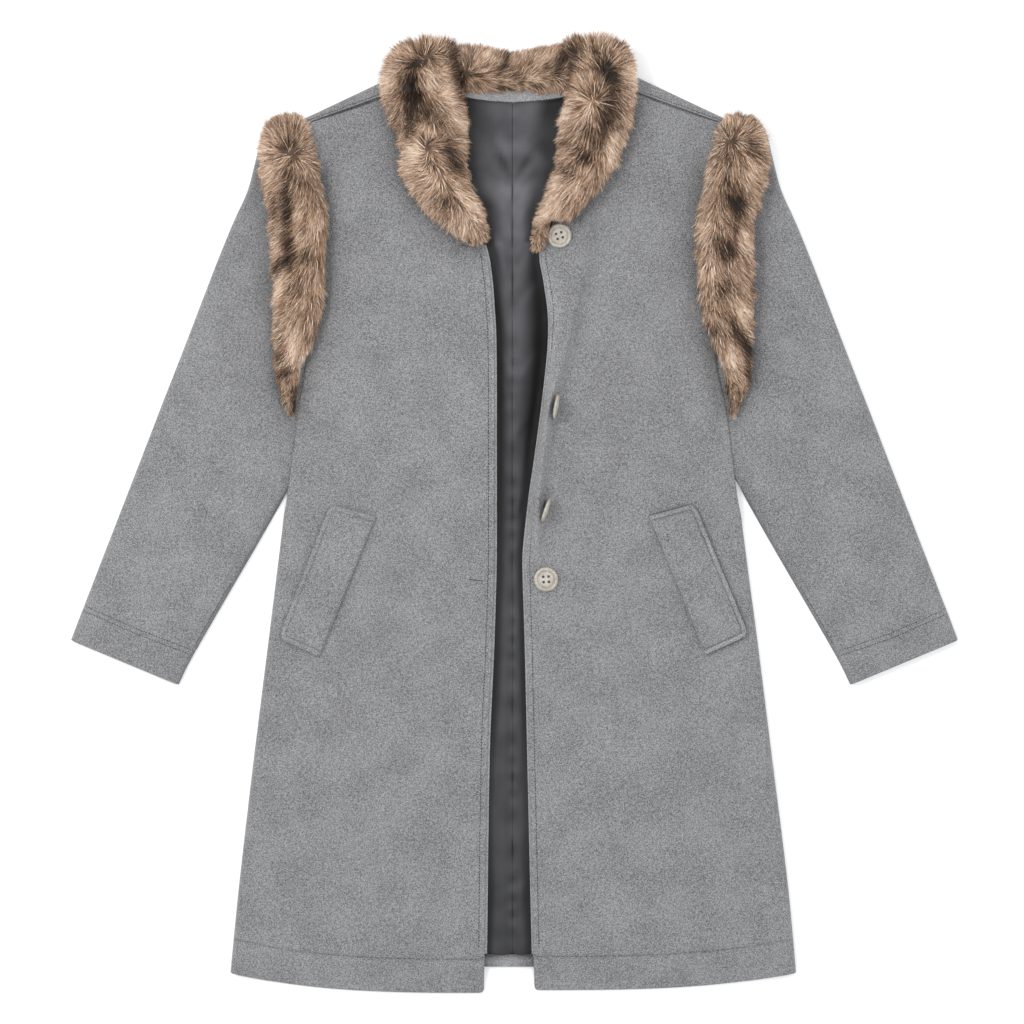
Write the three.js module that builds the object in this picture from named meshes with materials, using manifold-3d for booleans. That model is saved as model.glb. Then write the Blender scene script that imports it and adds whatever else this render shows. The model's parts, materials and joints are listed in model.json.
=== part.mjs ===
// A women's wool coat with a fur collar and fur armhole trims, laid flat on its back, front open.
// Millimetres, +Z up, collar towards +Y, the wearer's left towards +X.
// The origin is on the surface that the coat lies on, under the middle of its outline.
// Distances called "across" are measured from the middle line, the same way on both sides.
import * as THREE from 'three';
import { mergeVertices } from 'three/addons/utils/BufferGeometryUtils.js';
import Module from 'manifold-3d';

const wasm = await Module();
wasm.setup();

// ---- Driving sizes -----------------------------------------------------------------------

const WOOL = 2.2;              // wall of the wool cloth
const HEM_WOOL = 3.4;          // wool turned up double, along hem and cuffs
const SATIN = 0.8;             // wall of the lining
const SEAM = 0.3;              // room between neighbouring pieces

const UNDERSIDE = 5.6;         // height of the underside of the fronts and upper sleeves
const EDGE_LIFT = 0.3;         // extra height of a front where its facing lies below it
const EDGE_LIFT_WIDTH = 26;

const ROLL = 4.5;              // how far in the rounded side folds reach
const ROLL_LOW = 0.4;          // height of the lowest edge of a side fold
const LEAST_HEIGHT = 0.1;      // only the back and the under sleeves touch the surface
const BACK_INSET = 3.2;        // the pieces below end this far inside the side folds

const HEM_SIDE_Y = -506;       // where the hem meets the side seams
const HEM_DEPTH = 38;          // depth of the turned-up hem
const HEM_BOW = { right: 22.5, left: 19.5 };   // how much lower the hem hangs at the front edges
const HEM_FALL_FROM = -496;    // below this the fronts fall past the back to the surface
const HEM_FALL = 22;
const HEM_REST = 0.5;          // height of the fallen hem's underside
const CORNER = 4;              // radius of the hem corners

const BACK_HEM = { y: -499.4, bow: 6.2, halfWidth: 310 };      // highest at the middle line
const HEM_FACING = 1.4;        // wall of the back's turned-up hem where it shows
const LINING_HEM_Y = -485.6;
const LINING_SEAM_X = -2.2;    // the lining's centre seam
const LINING_TUCK = 12;        // how far the lining reaches under the fronts
const LINING_TOP_Y = 445;      // above this the lining stays as wide
const LINING_LEAN = { from: 380, over: 70 };     // its rows begin to follow the neck facing here
const NECK_Y = 466.6;          // the back neckline at the middle line
const NECKLINE = [             // from the shoulder to the middle
  { across: 92, y: 474 },
  { across: 62, y: 468.5 },
  { across: 30, y: NECK_Y },
];
const NECK_FACING = { y: 452.6, bow: 4.4, bowAcross: 46, mostBow: 7.5, reach: 74, wall: 1.8 };

const SHOULDER = { neck: 118, tip: 238, tipY: 432, slope: 0.472 };   // fold line at the top
const SHOULDER_SEAM = { startY: 430.6, start: 225, slope: 0.356 };   // seam on the front side
const SHOULDER_LIP = 14;       // how far the fold over the shoulder is laid onto the back

const BAND = { right: 2.8, left: 2.0 };          // facing that shows beside each front edge
const FACING_WIDTH = { right: 12, left: 6.5 };
const FACING = 2.0;
const FACING_TOP_Y = { right: 296, left: 292 };
const FACING_HEM_Y = -485.2;

const BUTTON = { radius: 13.35, thickness: 3.6, hole: 1.5, holeOffset: 2.95, lift: 0.95 };
const WELT = 2.4;              // wall of the pocket welts, cloth turned double

const SIGN = { right: -1, left: 1 };

// Side edge of the body, from the hem up. Above the underarm it is the armhole seam.
const SIDE_EDGE = [
  { y: -530, right: 315.5, left: 312.5 },
  { y: -470, right: 309.8, left: 307.5 },
  { y: -403, right: 303, left: 300.9 },
  { y: -271, right: 287.7, left: 284.4 },
  { y: -139, right: 271.2, left: 267.9 },
  { y: -73, right: 263, left: 259 },
  { y: -7, right: 254.7, left: 250.3 },
  { y: 83, right: 242.6, left: 237 },
  { y: 120, right: 237, left: 232 },
  { y: 161, right: 230.5, left: 223 },
  { y: 190, right: 230.5, left: 220 },
  { y: 250, right: 235, left: 229 },
  { y: 340, right: 238, left: 237 },
  { y: 432, right: 239, left: 239 },
];

// Side edge of the back piece above the underarm, where the sleeve joins it.
const BACK_ARMHOLE = [
  { y: 16, across: 245 },
  { y: 60, across: 233 },
  { y: 105, across: 228 },
  { y: 170, across: 227.5 },
  { y: 250, across: 230 },
  { y: 340, across: 234 },
  { y: 428, across: 238 },
];

// Front edge as it shows, facing included, from the hem up, and then the neckline.
const FRONT_EDGE = [
  { y: -530, right: 31, left: 20.5 },
  { y: -491, right: 30.3, left: 19.1 },
  { y: -260, right: 27, left: 13.8 },
  { y: -150, right: 22.3, left: 11.3 },
  { y: -61, right: 19.5, left: 8.7 },
  { y: -41, right: 19.3, left: 9 },
  { y: 18, right: 19.3, left: 15.4 },
  { y: 59, right: 19.3, left: 21.3 },
  { y: 121, right: 19.3, left: 29.7 },
  { y: 177, right: 19.6, left: 35.8 },
  { y: 203, right: 20.2, left: 37 },
  { y: 226, right: 21.6, left: 36 },
  { y: 254, right: 23.7, left: 32 },
  { y: 288, right: 28.8, left: 27.3 },
  { y: 311, right: 38, left: 36 },
  { y: 345, right: 57.8, left: 53 },
  { y: 380, right: 73, left: 71 },
  { y: 411, right: 80, left: 80 },
  { y: 441, right: 92, left: 92 },
  { y: 464, right: 112, left: 112 },
  { y: 472, right: 118, left: 118 },
  { y: 482, right: 120, left: 120 },
];

// The fold standing up beside the left front edge: its crest, how far it rises, and how far
// from the crest its outer side comes down to the flat cloth.
const RIDGE = [
  { y: -600, crest: 32, rise: 0, foot: 8 },
  { y: -57, crest: 27, rise: 0, foot: 8 },
  { y: -44, crest: 27, rise: 2, foot: 8 },
  { y: -29, crest: 26.8, rise: 5, foot: 7 },
  { y: -12, crest: 26.8, rise: 9.5, foot: 5 },
  { y: 4, crest: 26.8, rise: 12.5, foot: 4.6 },
  { y: 20, crest: 27.6, rise: 12.5, foot: 5.5 },
  { y: 37, crest: 29, rise: 11, foot: 10 },
  { y: 60, crest: 31.4, rise: 10.5, foot: 14 },
  { y: 85, crest: 34, rise: 13, foot: 9 },
  { y: 101, crest: 35.8, rise: 16, foot: 5 },
  { y: 118, crest: 37.8, rise: 17, foot: 4.6 },
  { y: 134, crest: 42.5, rise: 15, foot: 7 },
  { y: 155, crest: 49, rise: 12, foot: 14 },
  { y: 177, crest: 55, rise: 10.5, foot: 18 },
  { y: 213, crest: 63.6, rise: 9, foot: 20 },
  { y: 243, crest: 70, rise: 7.5, foot: 20 },
  { y: 270, crest: 75, rise: 6, foot: 20 },
  { y: 298, crest: 80, rise: 4.5, foot: 20 },
  { y: 334, crest: 85.5, rise: 2.5, foot: 20 },
  { y: 372, crest: 96, rise: 0, foot: 20 },
  { y: 500, crest: 150, rise: 0, foot: 20 },
];
const DIP = { depth: 3, beyond: 3, across: 8, along: 15 };   // cloth pressed down beside a button

// Height of the lower edge of the body's side fold: on the surface, then over the sleeve.
const FOLD_LOW = [
  { y: -600, low: ROLL_LOW },
  { y: -22, low: ROLL_LOW },
  { y: 6, low: 6.3 },
  { y: 165, low: 6.3 },
  { y: 205, low: UNDERSIDE + WOOL / 2 },
  { y: 600, low: UNDERSIDE + WOOL / 2 },
];

// Sleeve from the shoulder to the cuff: its outer fold and its inner edge.
const SLEEVE = [
  { outX: 263, outY: 436.5, inX: 239.5, inY: 434 },
  { outX: 276.5, outY: 423, inX: 239.3, inY: 405 },
  { outX: 285.5, outY: 389, inX: 238.8, inY: 362 },
  { outX: 294.3, outY: 356, inX: 237.9, inY: 318 },
  { outX: 309.2, outY: 323, inX: 236.6, inY: 276 },
  { outX: 322.9, outY: 290, inX: 235, inY: 238 },
  { outX: 337, outY: 254, inX: 229, inY: 202 },
  { outX: 361.5, outY: 190, inX: 219, inY: 150 },
  { outX: 379, outY: 145, inX: 219, inY: 98 },
  { outX: 390, outY: 117, inX: 232, inY: 58 },
  { outX: 399.6, outY: 92, inX: 252.5, inY: 20.4 },
  { outX: 425.1, outY: 26, inX: 284.5, inY: -36 },
  { outX: 453, outY: -46, inX: 323.5, inY: -103 },
  { outX: 477.8, outY: -110, inX: 357, inY: -161.5 },
  { outX: 489, outY: -139.2, inX: 370.2, inY: -188.6 },
];
const FREE_ROW = 10;           // from this row on the inner edge is clear of the body
const CUFF_DEPTH = 37;
// How much lower the sleeve lies where the body covers it, between a low and a high end.
const SLEEVE_DIVE = { depth: 3, width: 42, lowY: -34, lowFade: 36, highY: 205, highFade: 55 };

// Fur pieces: both edges of each section, its height, and the height of what it lies on.
// "lowIn" is the height below the inner edge, "low" below the middle and the outer edge.
const COLLAR_RIGHT = [
  { inX: -76, inY: 528.5, outX: -96, outY: 528.3, height: 16, lowIn: 3, low: 3 },
  { inX: -67, inY: 524, outX: -110, outY: 521.5, height: 26, lowIn: 4, low: 5 },
  { inX: -60.5, inY: 515.5, outX: -124, outY: 511.5, height: 34, lowIn: 5.5, low: 8 },
  { inX: -59.3, inY: 498.9, outX: -140.3, outY: 496.7, height: 38, lowIn: 6, low: 9 },
  { inX: -60, inY: 472.5, outX: -148.5, outY: 470.3, height: 38, lowIn: 6, low: 9 },
  { inX: -54, inY: 447, outX: -138, outY: 438, height: 34, lowIn: 5.6, low: 9 },
  { inX: -50.5, inY: 413, outX: -126.5, outY: 405, height: 29, lowIn: 5.6, low: 9 },
  { inX: -52, inY: 384, outX: -124.5, outY: 372, height: 31, lowIn: 5.6, low: 9 },
  { inX: -44.6, inY: 358, outX: -108.4, outY: 346, height: 30, lowIn: 6, low: 9 },
  { inX: -35.2, inY: 338.3, outX: -88.6, outY: 325, height: 27, lowIn: 7.5, low: 9 },
  { inX: -28.5, inY: 320.7, outX: -71, outY: 309, height: 24, lowIn: 8.6, low: 9 },
  { inX: -25.5, inY: 303, outX: -52.5, outY: 296, height: 18, lowIn: 8.6, low: 9 },
  { inX: -28, inY: 291.5, outX: -37.5, outY: 289.5, height: 9, lowIn: 8.6, low: 9 },
];
const COLLAR_LEFT = [
  { inX: 71, inY: 528.4, outX: 90, outY: 528.3, height: 16, lowIn: 3, low: 3 },
  { inX: 60, inY: 524, outX: 104, outY: 521.5, height: 26, lowIn: 4, low: 5 },
  { inX: 53, inY: 516, outX: 118, outY: 511.5, height: 34, lowIn: 5.5, low: 8 },
  { inX: 55.6, inY: 498.9, outX: 131.5, outY: 496.7, height: 38, lowIn: 6, low: 9 },
  { inX: 58.6, inY: 474, outX: 134, outY: 470.3, height: 38, lowIn: 6, low: 9 },
  { inX: 51.6, inY: 443, outX: 129.5, outY: 438, height: 35, lowIn: 5.6, low: 9 },
  { inX: 46.8, inY: 411, outX: 119, outY: 403, height: 32, lowIn: 5.6, low: 9 },
  { inX: 45.4, inY: 384, outX: 106, outY: 376, height: 31, lowIn: 5.6, low: 9.2 },
  { inX: 35.8, inY: 359, outX: 88, outY: 351, height: 29, lowIn: 7, low: 10.2 },
  { inX: 26, inY: 338, outX: 68.5, outY: 328.5, height: 26, lowIn: 8.6, low: 11.2 },
  { inX: 19.5, inY: 319.5, outX: 45, outY: 324.5, height: 21, lowIn: 8.8, low: 11 },
  { inX: 17.3, inY: 303.5, outX: 31.3, outY: 304.5, height: 15, lowIn: 8.8, low: 9.6 },
  { inX: 19.8, inY: 290.5, outX: 26, outY: 289.5, height: 9, lowIn: 8.8, low: 9 },
];
const COLLAR_BACK = [
  { inX: -58.3, inY: 467.4, outX: -58.9, outY: 519, height: 27, lowIn: 0.5, low: 0.5 },
  { inX: -30, inY: 467.2, outX: -30, outY: 514, height: 25, lowIn: 0.5, low: 0.5 },
  { inX: -2, inY: 467.2, outX: -2, outY: 511, height: 23, lowIn: 0.5, low: 0.5 },
  { inX: 25, inY: 467.2, outX: 23, outY: 514, height: 25, lowIn: 0.5, low: 0.5 },
  { inX: 57.5, inY: 467.4, outX: 51.5, outY: 519, height: 27, lowIn: 0.5, low: 0.5 },
];
const TRIM_RIGHT = [
  { inX: -238, inY: 440.5, outX: -262, outY: 438.5, height: 13, lowIn: 8.6, low: 8.6 },
  { inX: -224, inY: 429, outX: -277.5, outY: 424, height: 22, lowIn: 8.6, low: 8.6 },
  { inX: -218.5, inY: 404, outX: -281.5, outY: 402, height: 27, lowIn: 8.6, low: 8.6 },
  { inX: -212, inY: 371, outX: -280, outY: 373, height: 29, lowIn: 8.6, low: 8.6 },
  { inX: -204.5, inY: 330, outX: -270, outY: 332, height: 30, lowIn: 8.6, low: 8.6 },
  { inX: -205, inY: 285, outX: -268, outY: 286, height: 30, lowIn: 8.6, low: 8.6 },
  { inX: -208, inY: 235, outX: -265.5, outY: 235, height: 29, lowIn: 8.6, low: 8.6 },
  { inX: -218, inY: 193, outX: -266, outY: 192, height: 27, lowIn: 8.6, low: 8.6 },
  { inX: -231.6, inY: 163, outX: -264.5, outY: 163, height: 23, lowIn: 8.6, low: 8.4 },
  { inX: -236.4, inY: 137, outX: -260.5, outY: 136, height: 19, lowIn: 7, low: 7.2 },
  { inX: -241.2, inY: 112, outX: -249, outY: 110, height: 9, lowIn: 6.4, low: 6.6 },
];
const TRIM_LEFT = [
  { inX: 234, inY: 441, outX: 262, outY: 438.5, height: 13, lowIn: 8.6, low: 8.6 },
  { inX: 222.5, inY: 429, outX: 276, outY: 424, height: 22, lowIn: 8.6, low: 8.6 },
  { inX: 216, inY: 404, outX: 280.5, outY: 402, height: 27, lowIn: 8.6, low: 8.6 },
  { inX: 208, inY: 371, outX: 279, outY: 373, height: 29, lowIn: 8.6, low: 8.6 },
  { inX: 200, inY: 330, outX: 265.5, outY: 332, height: 30, lowIn: 8.6, low: 8.6 },
  { inX: 198, inY: 285, outX: 262.5, outY: 286, height: 30, lowIn: 8.6, low: 8.6 },
  { inX: 202, inY: 235, outX: 262, outY: 235, height: 29, lowIn: 8.6, low: 8.6 },
  { inX: 212, inY: 193, outX: 262.5, outY: 192, height: 27, lowIn: 8.6, low: 8.6 },
  { inX: 224.6, inY: 163, outX: 263, outY: 163, height: 23, lowIn: 8.6, low: 8.4 },
  { inX: 231, inY: 137, outX: 257.5, outY: 136, height: 19, lowIn: 7, low: 7.2 },
  { inX: 236, inY: 112, outX: 245.5, outY: 110, height: 9, lowIn: 6.4, low: 6.6 },
];

// Pocket welts: their corners, "inner" towards the front edge.
const POCKETS = {
  right: { innerTop: [152.4, -2.8], outerTop: [203, 11], outerLow: [260, -137], innerLow: [215, -158] },
  left: { innerTop: [147.4, -1.7], outerTop: [198.5, 12], outerLow: [259, -134], innerLow: [210.5, -156] },
};
const WELT_ROUND = 11;         // radius of a welt's two outer corners

// Buttons: the first and last lie on the cloth, the others stand on edge at the fold's steep side.
const BUTTONS = [
  { name: 'button_1', x: 49.6, y: 305.1, spin: 17 },
  { name: 'button_2', x: 45.6, y: 117.2, z: 19.4, lean: 86, heading: -10.6, spin: 30 },
  { name: 'button_3', x: 34.6, y: 3.8, z: 19.4, lean: 86, heading: -19.3, spin: 10 },
  { name: 'button_4', x: 34.7, y: -72.4, spin: 3 },
];

const FINISH = {
  wool: { color: 0x939395, roughness: 0.95, metalness: 0 },
  facing: { color: 0x8d8d90, roughness: 0.95, metalness: 0 },
  lining: { color: 0x4a4a4c, roughness: 0.45, metalness: 0 },
  fur: { color: 0x82694f, roughness: 0.85, metalness: 0 },
  horn: { color: 0xb8b4ac, roughness: 0.4, metalness: 0 },
};

// ---- Helpers -----------------------------------------------------------------------------

const clamp = (value, low, high) => Math.min(high, Math.max(low, value));
const mix = (a, b, t) => a + (b - a) * t;
const radians = (degrees) => (degrees * Math.PI) / 180;

// 0 to 1 with soft ends.
function soft(t) {
  const s = clamp(t, 0, 1);
  return s * s * (3 - 2 * s);
}

// Hermite blend between two values whose slopes are given for a unit step.
function hermite(a, b, slopeA, slopeB, t) {
  const t2 = t * t;
  const t3 = t2 * t;
  return a * (2 * t3 - 3 * t2 + 1) + slopeA * (t3 - 2 * t2 + t)
    + b * (3 * t2 - 2 * t3) + slopeB * (t3 - t2);
}

// Value of a table's column at height y, on a smooth curve through its rows.
function value(rows, name, y) {
  const last = rows.length - 1;
  let i = 0;
  while (i < last - 1 && y > rows[i + 1].y) i += 1;
  const slope = (k) => {
    const below = rows[Math.max(k - 1, 0)];
    const above = rows[Math.min(k + 1, last)];
    return (above[name] - below[name]) / (above.y - below.y);
  };
  const span = rows[i + 1].y - rows[i].y;
  const t = clamp((y - rows[i].y) / span, 0, 1);
  return hermite(rows[i][name], rows[i + 1][name], slope(i) * span, slope(i + 1) * span, t);
}

// All columns of a table at a place between its rows, on smooth curves through them.
function between(rows, place) {
  const last = rows.length - 1;
  const i = Math.min(Math.floor(place), last - 1);
  const t = place - i;
  const result = {};
  for (const name of Object.keys(rows[0])) {
    const at = (k) => rows[clamp(k, 0, last)][name];
    const slopeA = i > 0 ? (at(i + 1) - at(i - 1)) / 2 : at(1) - at(0);
    const slopeB = i + 1 < last ? (at(i + 2) - at(i)) / 2 : at(last) - at(last - 1);
    result[name] = hermite(at(i), at(i + 1), slopeA, slopeB, t);
  }
  return result;
}

function signedVolume(vertices, triangles) {
  let volume = 0;
  for (const [a, b, c] of triangles) {
    volume += vertices[a].dot(vertices[b].clone().cross(vertices[c])) / 6;
  }
  return volume;
}

// A closed geometry whose faces all point out.
function closedGeometry(vertices, triangles) {
  const flip = signedVolume(vertices, triangles) < 0;
  const geometry = new THREE.BufferGeometry();
  const positions = vertices.flatMap((v) => [v.x, v.y, v.z]);
  const indices = triangles.flatMap(([a, b, c]) => (flip ? [a, c, b] : [a, b, c]));
  geometry.setAttribute('position', new THREE.Float32BufferAttribute(positions, 3));
  geometry.setIndex(indices);
  geometry.computeVertexNormals();
  return geometry;
}

// Cloth stays just above the surface that the coat lies on.
function aboveSurface(point) {
  return point.setZ(Math.max(point.z, LEAST_HEIGHT));
}

// A wall of cloth around a grid of middle points, rows by columns, with its rim closed.
function wall(grid, thickness) {
  const rows = grid.length;
  const columns = grid[0].length;
  const upper = [];
  const lower = [];
  for (let i = 0; i < rows; i += 1) {
    for (let j = 0; j < columns; j += 1) {
      const along = grid[Math.min(i + 1, rows - 1)][j].clone().sub(grid[Math.max(i - 1, 0)][j]);
      const aside = grid[i][Math.min(j + 1, columns - 1)].clone().sub(grid[i][Math.max(j - 1, 0)]);
      const normal = aside.cross(along).normalize();
      const half = (typeof thickness === 'number' ? thickness : thickness(i, j)) / 2;
      upper.push(aboveSurface(grid[i][j].clone().addScaledVector(normal, half)));
      lower.push(aboveSurface(grid[i][j].clone().addScaledVector(normal, -half)));
    }
  }
  const count = rows * columns;
  const at = (i, j) => i * columns + j;
  const triangles = [];
  for (let i = 0; i < rows - 1; i += 1) {
    for (let j = 0; j < columns - 1; j += 1) {
      const [a, b, c, d] = [at(i, j), at(i, j + 1), at(i + 1, j + 1), at(i + 1, j)];
      triangles.push([a, b, c], [a, c, d]);
      triangles.push([a + count, c + count, b + count], [a + count, d + count, c + count]);
    }
  }
  const rim = [];
  for (let j = 0; j < columns - 1; j += 1) rim.push(at(0, j));
  for (let i = 0; i < rows - 1; i += 1) rim.push(at(i, columns - 1));
  for (let j = columns - 1; j > 0; j -= 1) rim.push(at(rows - 1, j));
  for (let i = rows - 1; i > 0; i -= 1) rim.push(at(i, 0));
  rim.forEach((a, k) => {
    const b = rim[(k + 1) % rim.length];
    triangles.push([a, a + count, b], [b, a + count, b + count]);
  });
  return closedGeometry([...upper, ...lower], triangles);
}

// A solid through closed sections with the same number of points, its ends closed flat.
function loft(sections) {
  const size = sections[0].length;
  const vertices = sections.flat();
  const triangles = [];
  for (let i = 0; i < sections.length - 1; i += 1) {
    for (let k = 0; k < size; k += 1) {
      const a = i * size + k;
      const b = i * size + ((k + 1) % size);
      triangles.push([a, b, b + size], [a, b + size, a + size]);
    }
  }
  for (const [start, order] of [[0, 1], [(sections.length - 1) * size, -1]]) {
    const middle = new THREE.Vector3();
    for (let k = 0; k < size; k += 1) middle.addScaledVector(vertices[start + k], 1 / size);
    vertices.push(middle);
    const hub = vertices.length - 1;
    for (let k = 0; k < size; k += 1) {
      const a = start + k;
      const b = start + ((k + 1) % size);
      triangles.push(order > 0 ? [b, a, hub] : [a, b, hub]);
    }
  }
  return closedGeometry(vertices, triangles);
}

// A flat plate of an outline given as [x, y] points.
function plate(outline, low, thickness) {
  const shape = new THREE.Shape(outline.map(([x, y]) => new THREE.Vector2(x, y)));
  const geometry = new THREE.ExtrudeGeometry(shape, { depth: thickness, bevelEnabled: false });
  geometry.translate(0, 0, low);
  return geometry;
}

function toManifold(geometry) {
  const bare = geometry.clone();
  bare.deleteAttribute('normal');
  bare.deleteAttribute('uv');
  const merged = mergeVertices(bare, 1e-4);
  return new wasm.Manifold(new wasm.Mesh({
    numProp: 3,
    vertProperties: new Float32Array(merged.attributes.position.array),
    triVerts: new Uint32Array(merged.index.array),
  }));
}

function fromManifold(solid) {
  const { vertProperties, triVerts } = solid.getMesh();
  const geometry = new THREE.BufferGeometry();
  geometry.setAttribute('position', new THREE.Float32BufferAttribute(vertProperties, 3));
  geometry.setIndex([...triVerts]);
  geometry.computeVertexNormals();
  return geometry;
}

const coat = new THREE.Group();

function addPiece(name, geometry, finish) {
  const mesh = new THREE.Mesh(geometry, new THREE.MeshStandardMaterial(FINISH[finish]));
  mesh.name = name;
  coat.add(mesh);
  return mesh;
}

// ---- Shape of the fronts -----------------------------------------------------------------

const FOLD_ANGLES = [0, 30, 60, 90].map(radians);

function shoulderFoldY(across) {
  return SHOULDER.tipY + SHOULDER.slope * (SHOULDER.tip - across);
}

function shoulderSeamY(across) {
  return SHOULDER_SEAM.startY + SHOULDER_SEAM.slope * (SHOULDER_SEAM.start - across);
}

// Rise of the fold beside the left front edge: round up to its crest, then falling off steeply.
function ridgeHeight(across, y) {
  const edge = value(FRONT_EDGE, 'left', y) + BAND.left;
  const crest = value(RIDGE, 'crest', y);
  const rise = Math.max(0, value(RIDGE, 'rise', y));
  if (across < crest) return (rise * (1 + Math.cos((Math.PI * (crest - across)) / (crest - edge)))) / 2;
  const t = Math.min(1, (across - crest) / value(RIDGE, 'foot', y));
  return rise * (1 - t) ** 2;
}

// How far the cloth is pressed down below the standing buttons.
function dipDepth(across, y) {
  let depth = 0;
  for (const button of BUTTONS.filter((b) => b.lean)) {
    const crest = value(RIDGE, 'crest', button.y);
    const foot = crest + value(RIDGE, 'foot', button.y) + DIP.beyond;
    const farX = (across - foot) / DIP.across;
    const farY = (y - button.y) / DIP.along;
    depth = Math.max(depth, DIP.depth * Math.exp(-farX * farX - farY * farY));
  }
  return depth;
}

// Height of a front's underside, its side fold left out.
function frontUnderside(side, across, y) {
  const edge = value(FRONT_EDGE, side, y) + BAND[side];
  const lift = EDGE_LIFT * (1 - soft((across - edge) / EDGE_LIFT_WIDTH));
  let height = UNDERSIDE + lift;
  if (side === 'left') height += ridgeHeight(across, y) - dipDepth(across, y);
  return mix(height, HEM_REST, soft((HEM_FALL_FROM - y) / HEM_FALL));
}

function hemY(side, across) {
  const inner = value(FRONT_EDGE, side, HEM_SIDE_Y) + BAND[side];
  const outer = value(SIDE_EDGE, side, HEM_SIDE_Y);
  const t = clamp((across - inner) / (outer - inner), 0, 1);
  const corner = CORNER - Math.min(CORNER, across - inner);
  const round = CORNER - Math.sqrt(Math.max(0, CORNER ** 2 - corner ** 2));
  return HEM_SIDE_Y - HEM_BOW[side] * (1 - t ** 3) + round;
}

const EDGE_COLUMNS = [12, 4];  // the right front's last columns before its edge
const RIDGE_MARGIN = 7;        // flat cloth beside the fold's foot
const STEEP_PARTS = [1, 0.8, 0.6, 0.4, 0.2, 0];         // columns from the fold's foot to its crest
const GENTLE_PARTS = [0.78, 0.56, 0.35, 0.16, 0];       // and from there to the front edge

// Distances from the middle line of a front's columns, from its side fold to its front edge.
function frontColumns(side, y) {
  const outer = value(SIDE_EDGE, side, y);
  const inner = value(FRONT_EDGE, side, y) + BAND[side];
  const columns = FOLD_ANGLES.map((angle) => outer - WOOL / 2 - ROLL * (1 - Math.cos(angle)));
  const start = columns[columns.length - 1];
  if (side === 'right') {
    const steps = 8;
    const end = inner + EDGE_COLUMNS[0];
    for (let k = 1; k <= steps; k += 1) columns.push(mix(start, end, k / steps));
    columns.push(inner + EDGE_COLUMNS[1], inner);
    return columns;
  }
  const crest = value(RIDGE, 'crest', y);
  const foot = value(RIDGE, 'foot', y);
  const steps = 7;
  const end = crest + foot + RIDGE_MARGIN;
  for (let k = 1; k <= steps; k += 1) columns.push(mix(start, end, k / steps));
  for (const part of STEEP_PARTS) columns.push(crest + foot * part);
  for (const part of GENTLE_PARTS) columns.push(mix(inner, crest, part));
  return columns;
}

// Rows above the hem, then the heights of the rows above those.
const HEM_ROWS = [0, 3, 13, 25, HEM_DEPTH - 1.5, HEM_DEPTH + 1.5];
const BODY_ROWS = [-430, -370, -310, -250, -190, -140, -95, -60, -34, -14, 4, 22, 42, 65, 86, 101,
  118, 134, 155, 185, 220, 250, 275, 295, 315, 345, 385, 430, 468];

// Wall of a front at a row and column: double along the hem, single at the side fold.
function frontThickness(i, j) {
  const double = i < HEM_ROWS.length - 1 && j >= FOLD_ANGLES.length;
  return double ? HEM_WOOL : WOOL;
}

// The lowest rows follow the hem's bow, and the highest the slope of the shoulder seam.
const HEM_POWER = 6;
const SHOULDER_POWER = 3;

function frontPiece(side) {
  const count = frontColumns(side, 0).length;
  const firstRow = HEM_SIDE_Y + HEM_ROWS[HEM_ROWS.length - 1];
  const lastRow = BODY_ROWS[BODY_ROWS.length - 1];
  const grid = [...HEM_ROWS, ...BODY_ROWS].map(() => []);
  for (let j = 0; j < count; j += 1) {
    const low = hemY(side, frontColumns(side, HEM_SIDE_Y)[j]);
    const top = shoulderSeamY(frontColumns(side, lastRow)[j]) - SEAM / 2;
    const heights = HEM_ROWS.map((above) => low + above);
    const start = heights[heights.length - 1];
    for (const y of BODY_ROWS) {
      const t = (y - firstRow) / (lastRow - firstRow);
      heights.push(y + (start - firstRow) * (1 - t) ** HEM_POWER
        + (top - lastRow) * t ** SHOULDER_POWER);
    }
    heights.forEach((y, i) => {
      const across = frontColumns(side, y)[j];
      const half = frontThickness(i, j) / 2;
      let z = frontUnderside(side, across, y) + half;
      if (j < FOLD_ANGLES.length) {
        const edge = value(SIDE_EDGE, side, y) - WOOL / 2 - ROLL;
        const full = frontUnderside(side, edge, y) + half;
        z = mix(Math.min(full, value(FOLD_LOW, 'low', y)), full, Math.sin(FOLD_ANGLES[j]));
      }
      grid[i][j] = new THREE.Vector3(SIGN[side] * across, y, z);
    });
  }
  return wall(grid, frontThickness);
}

// ---- Shape of the sleeves ----------------------------------------------------------------

// The sleeve head's fold: rows between the sleeve's first two, and the fold's angle at each.
const HEAD_ROWS = [
  { place: 0, angle: 0 },
  { place: 0.06, angle: 30 },
  { place: 0.2, angle: 60 },
  { place: 0.4, angle: 90 },
];
const HEM_STEP = 0.04;         // half the rows over which the cloth doubles at the cuff's hem
const FREE_FADE = { before: 0.3, over: 0.6 };     // rows over which the inner edge comes clear

function sleeveMiddle(side, across, y) {
  const outside = across - value(SIDE_EDGE, side, y);
  const near = 1 - soft(outside / SLEEVE_DIVE.width);
  const upperEnd = 1 - soft((y - SLEEVE_DIVE.highY) / SLEEVE_DIVE.highFade);
  const lowerEnd = soft((y - SLEEVE_DIVE.lowY) / SLEEVE_DIVE.lowFade);
  return UNDERSIDE + WOOL / 2 - SLEEVE_DIVE.depth * near * upperEnd * lowerEnd;
}

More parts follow.
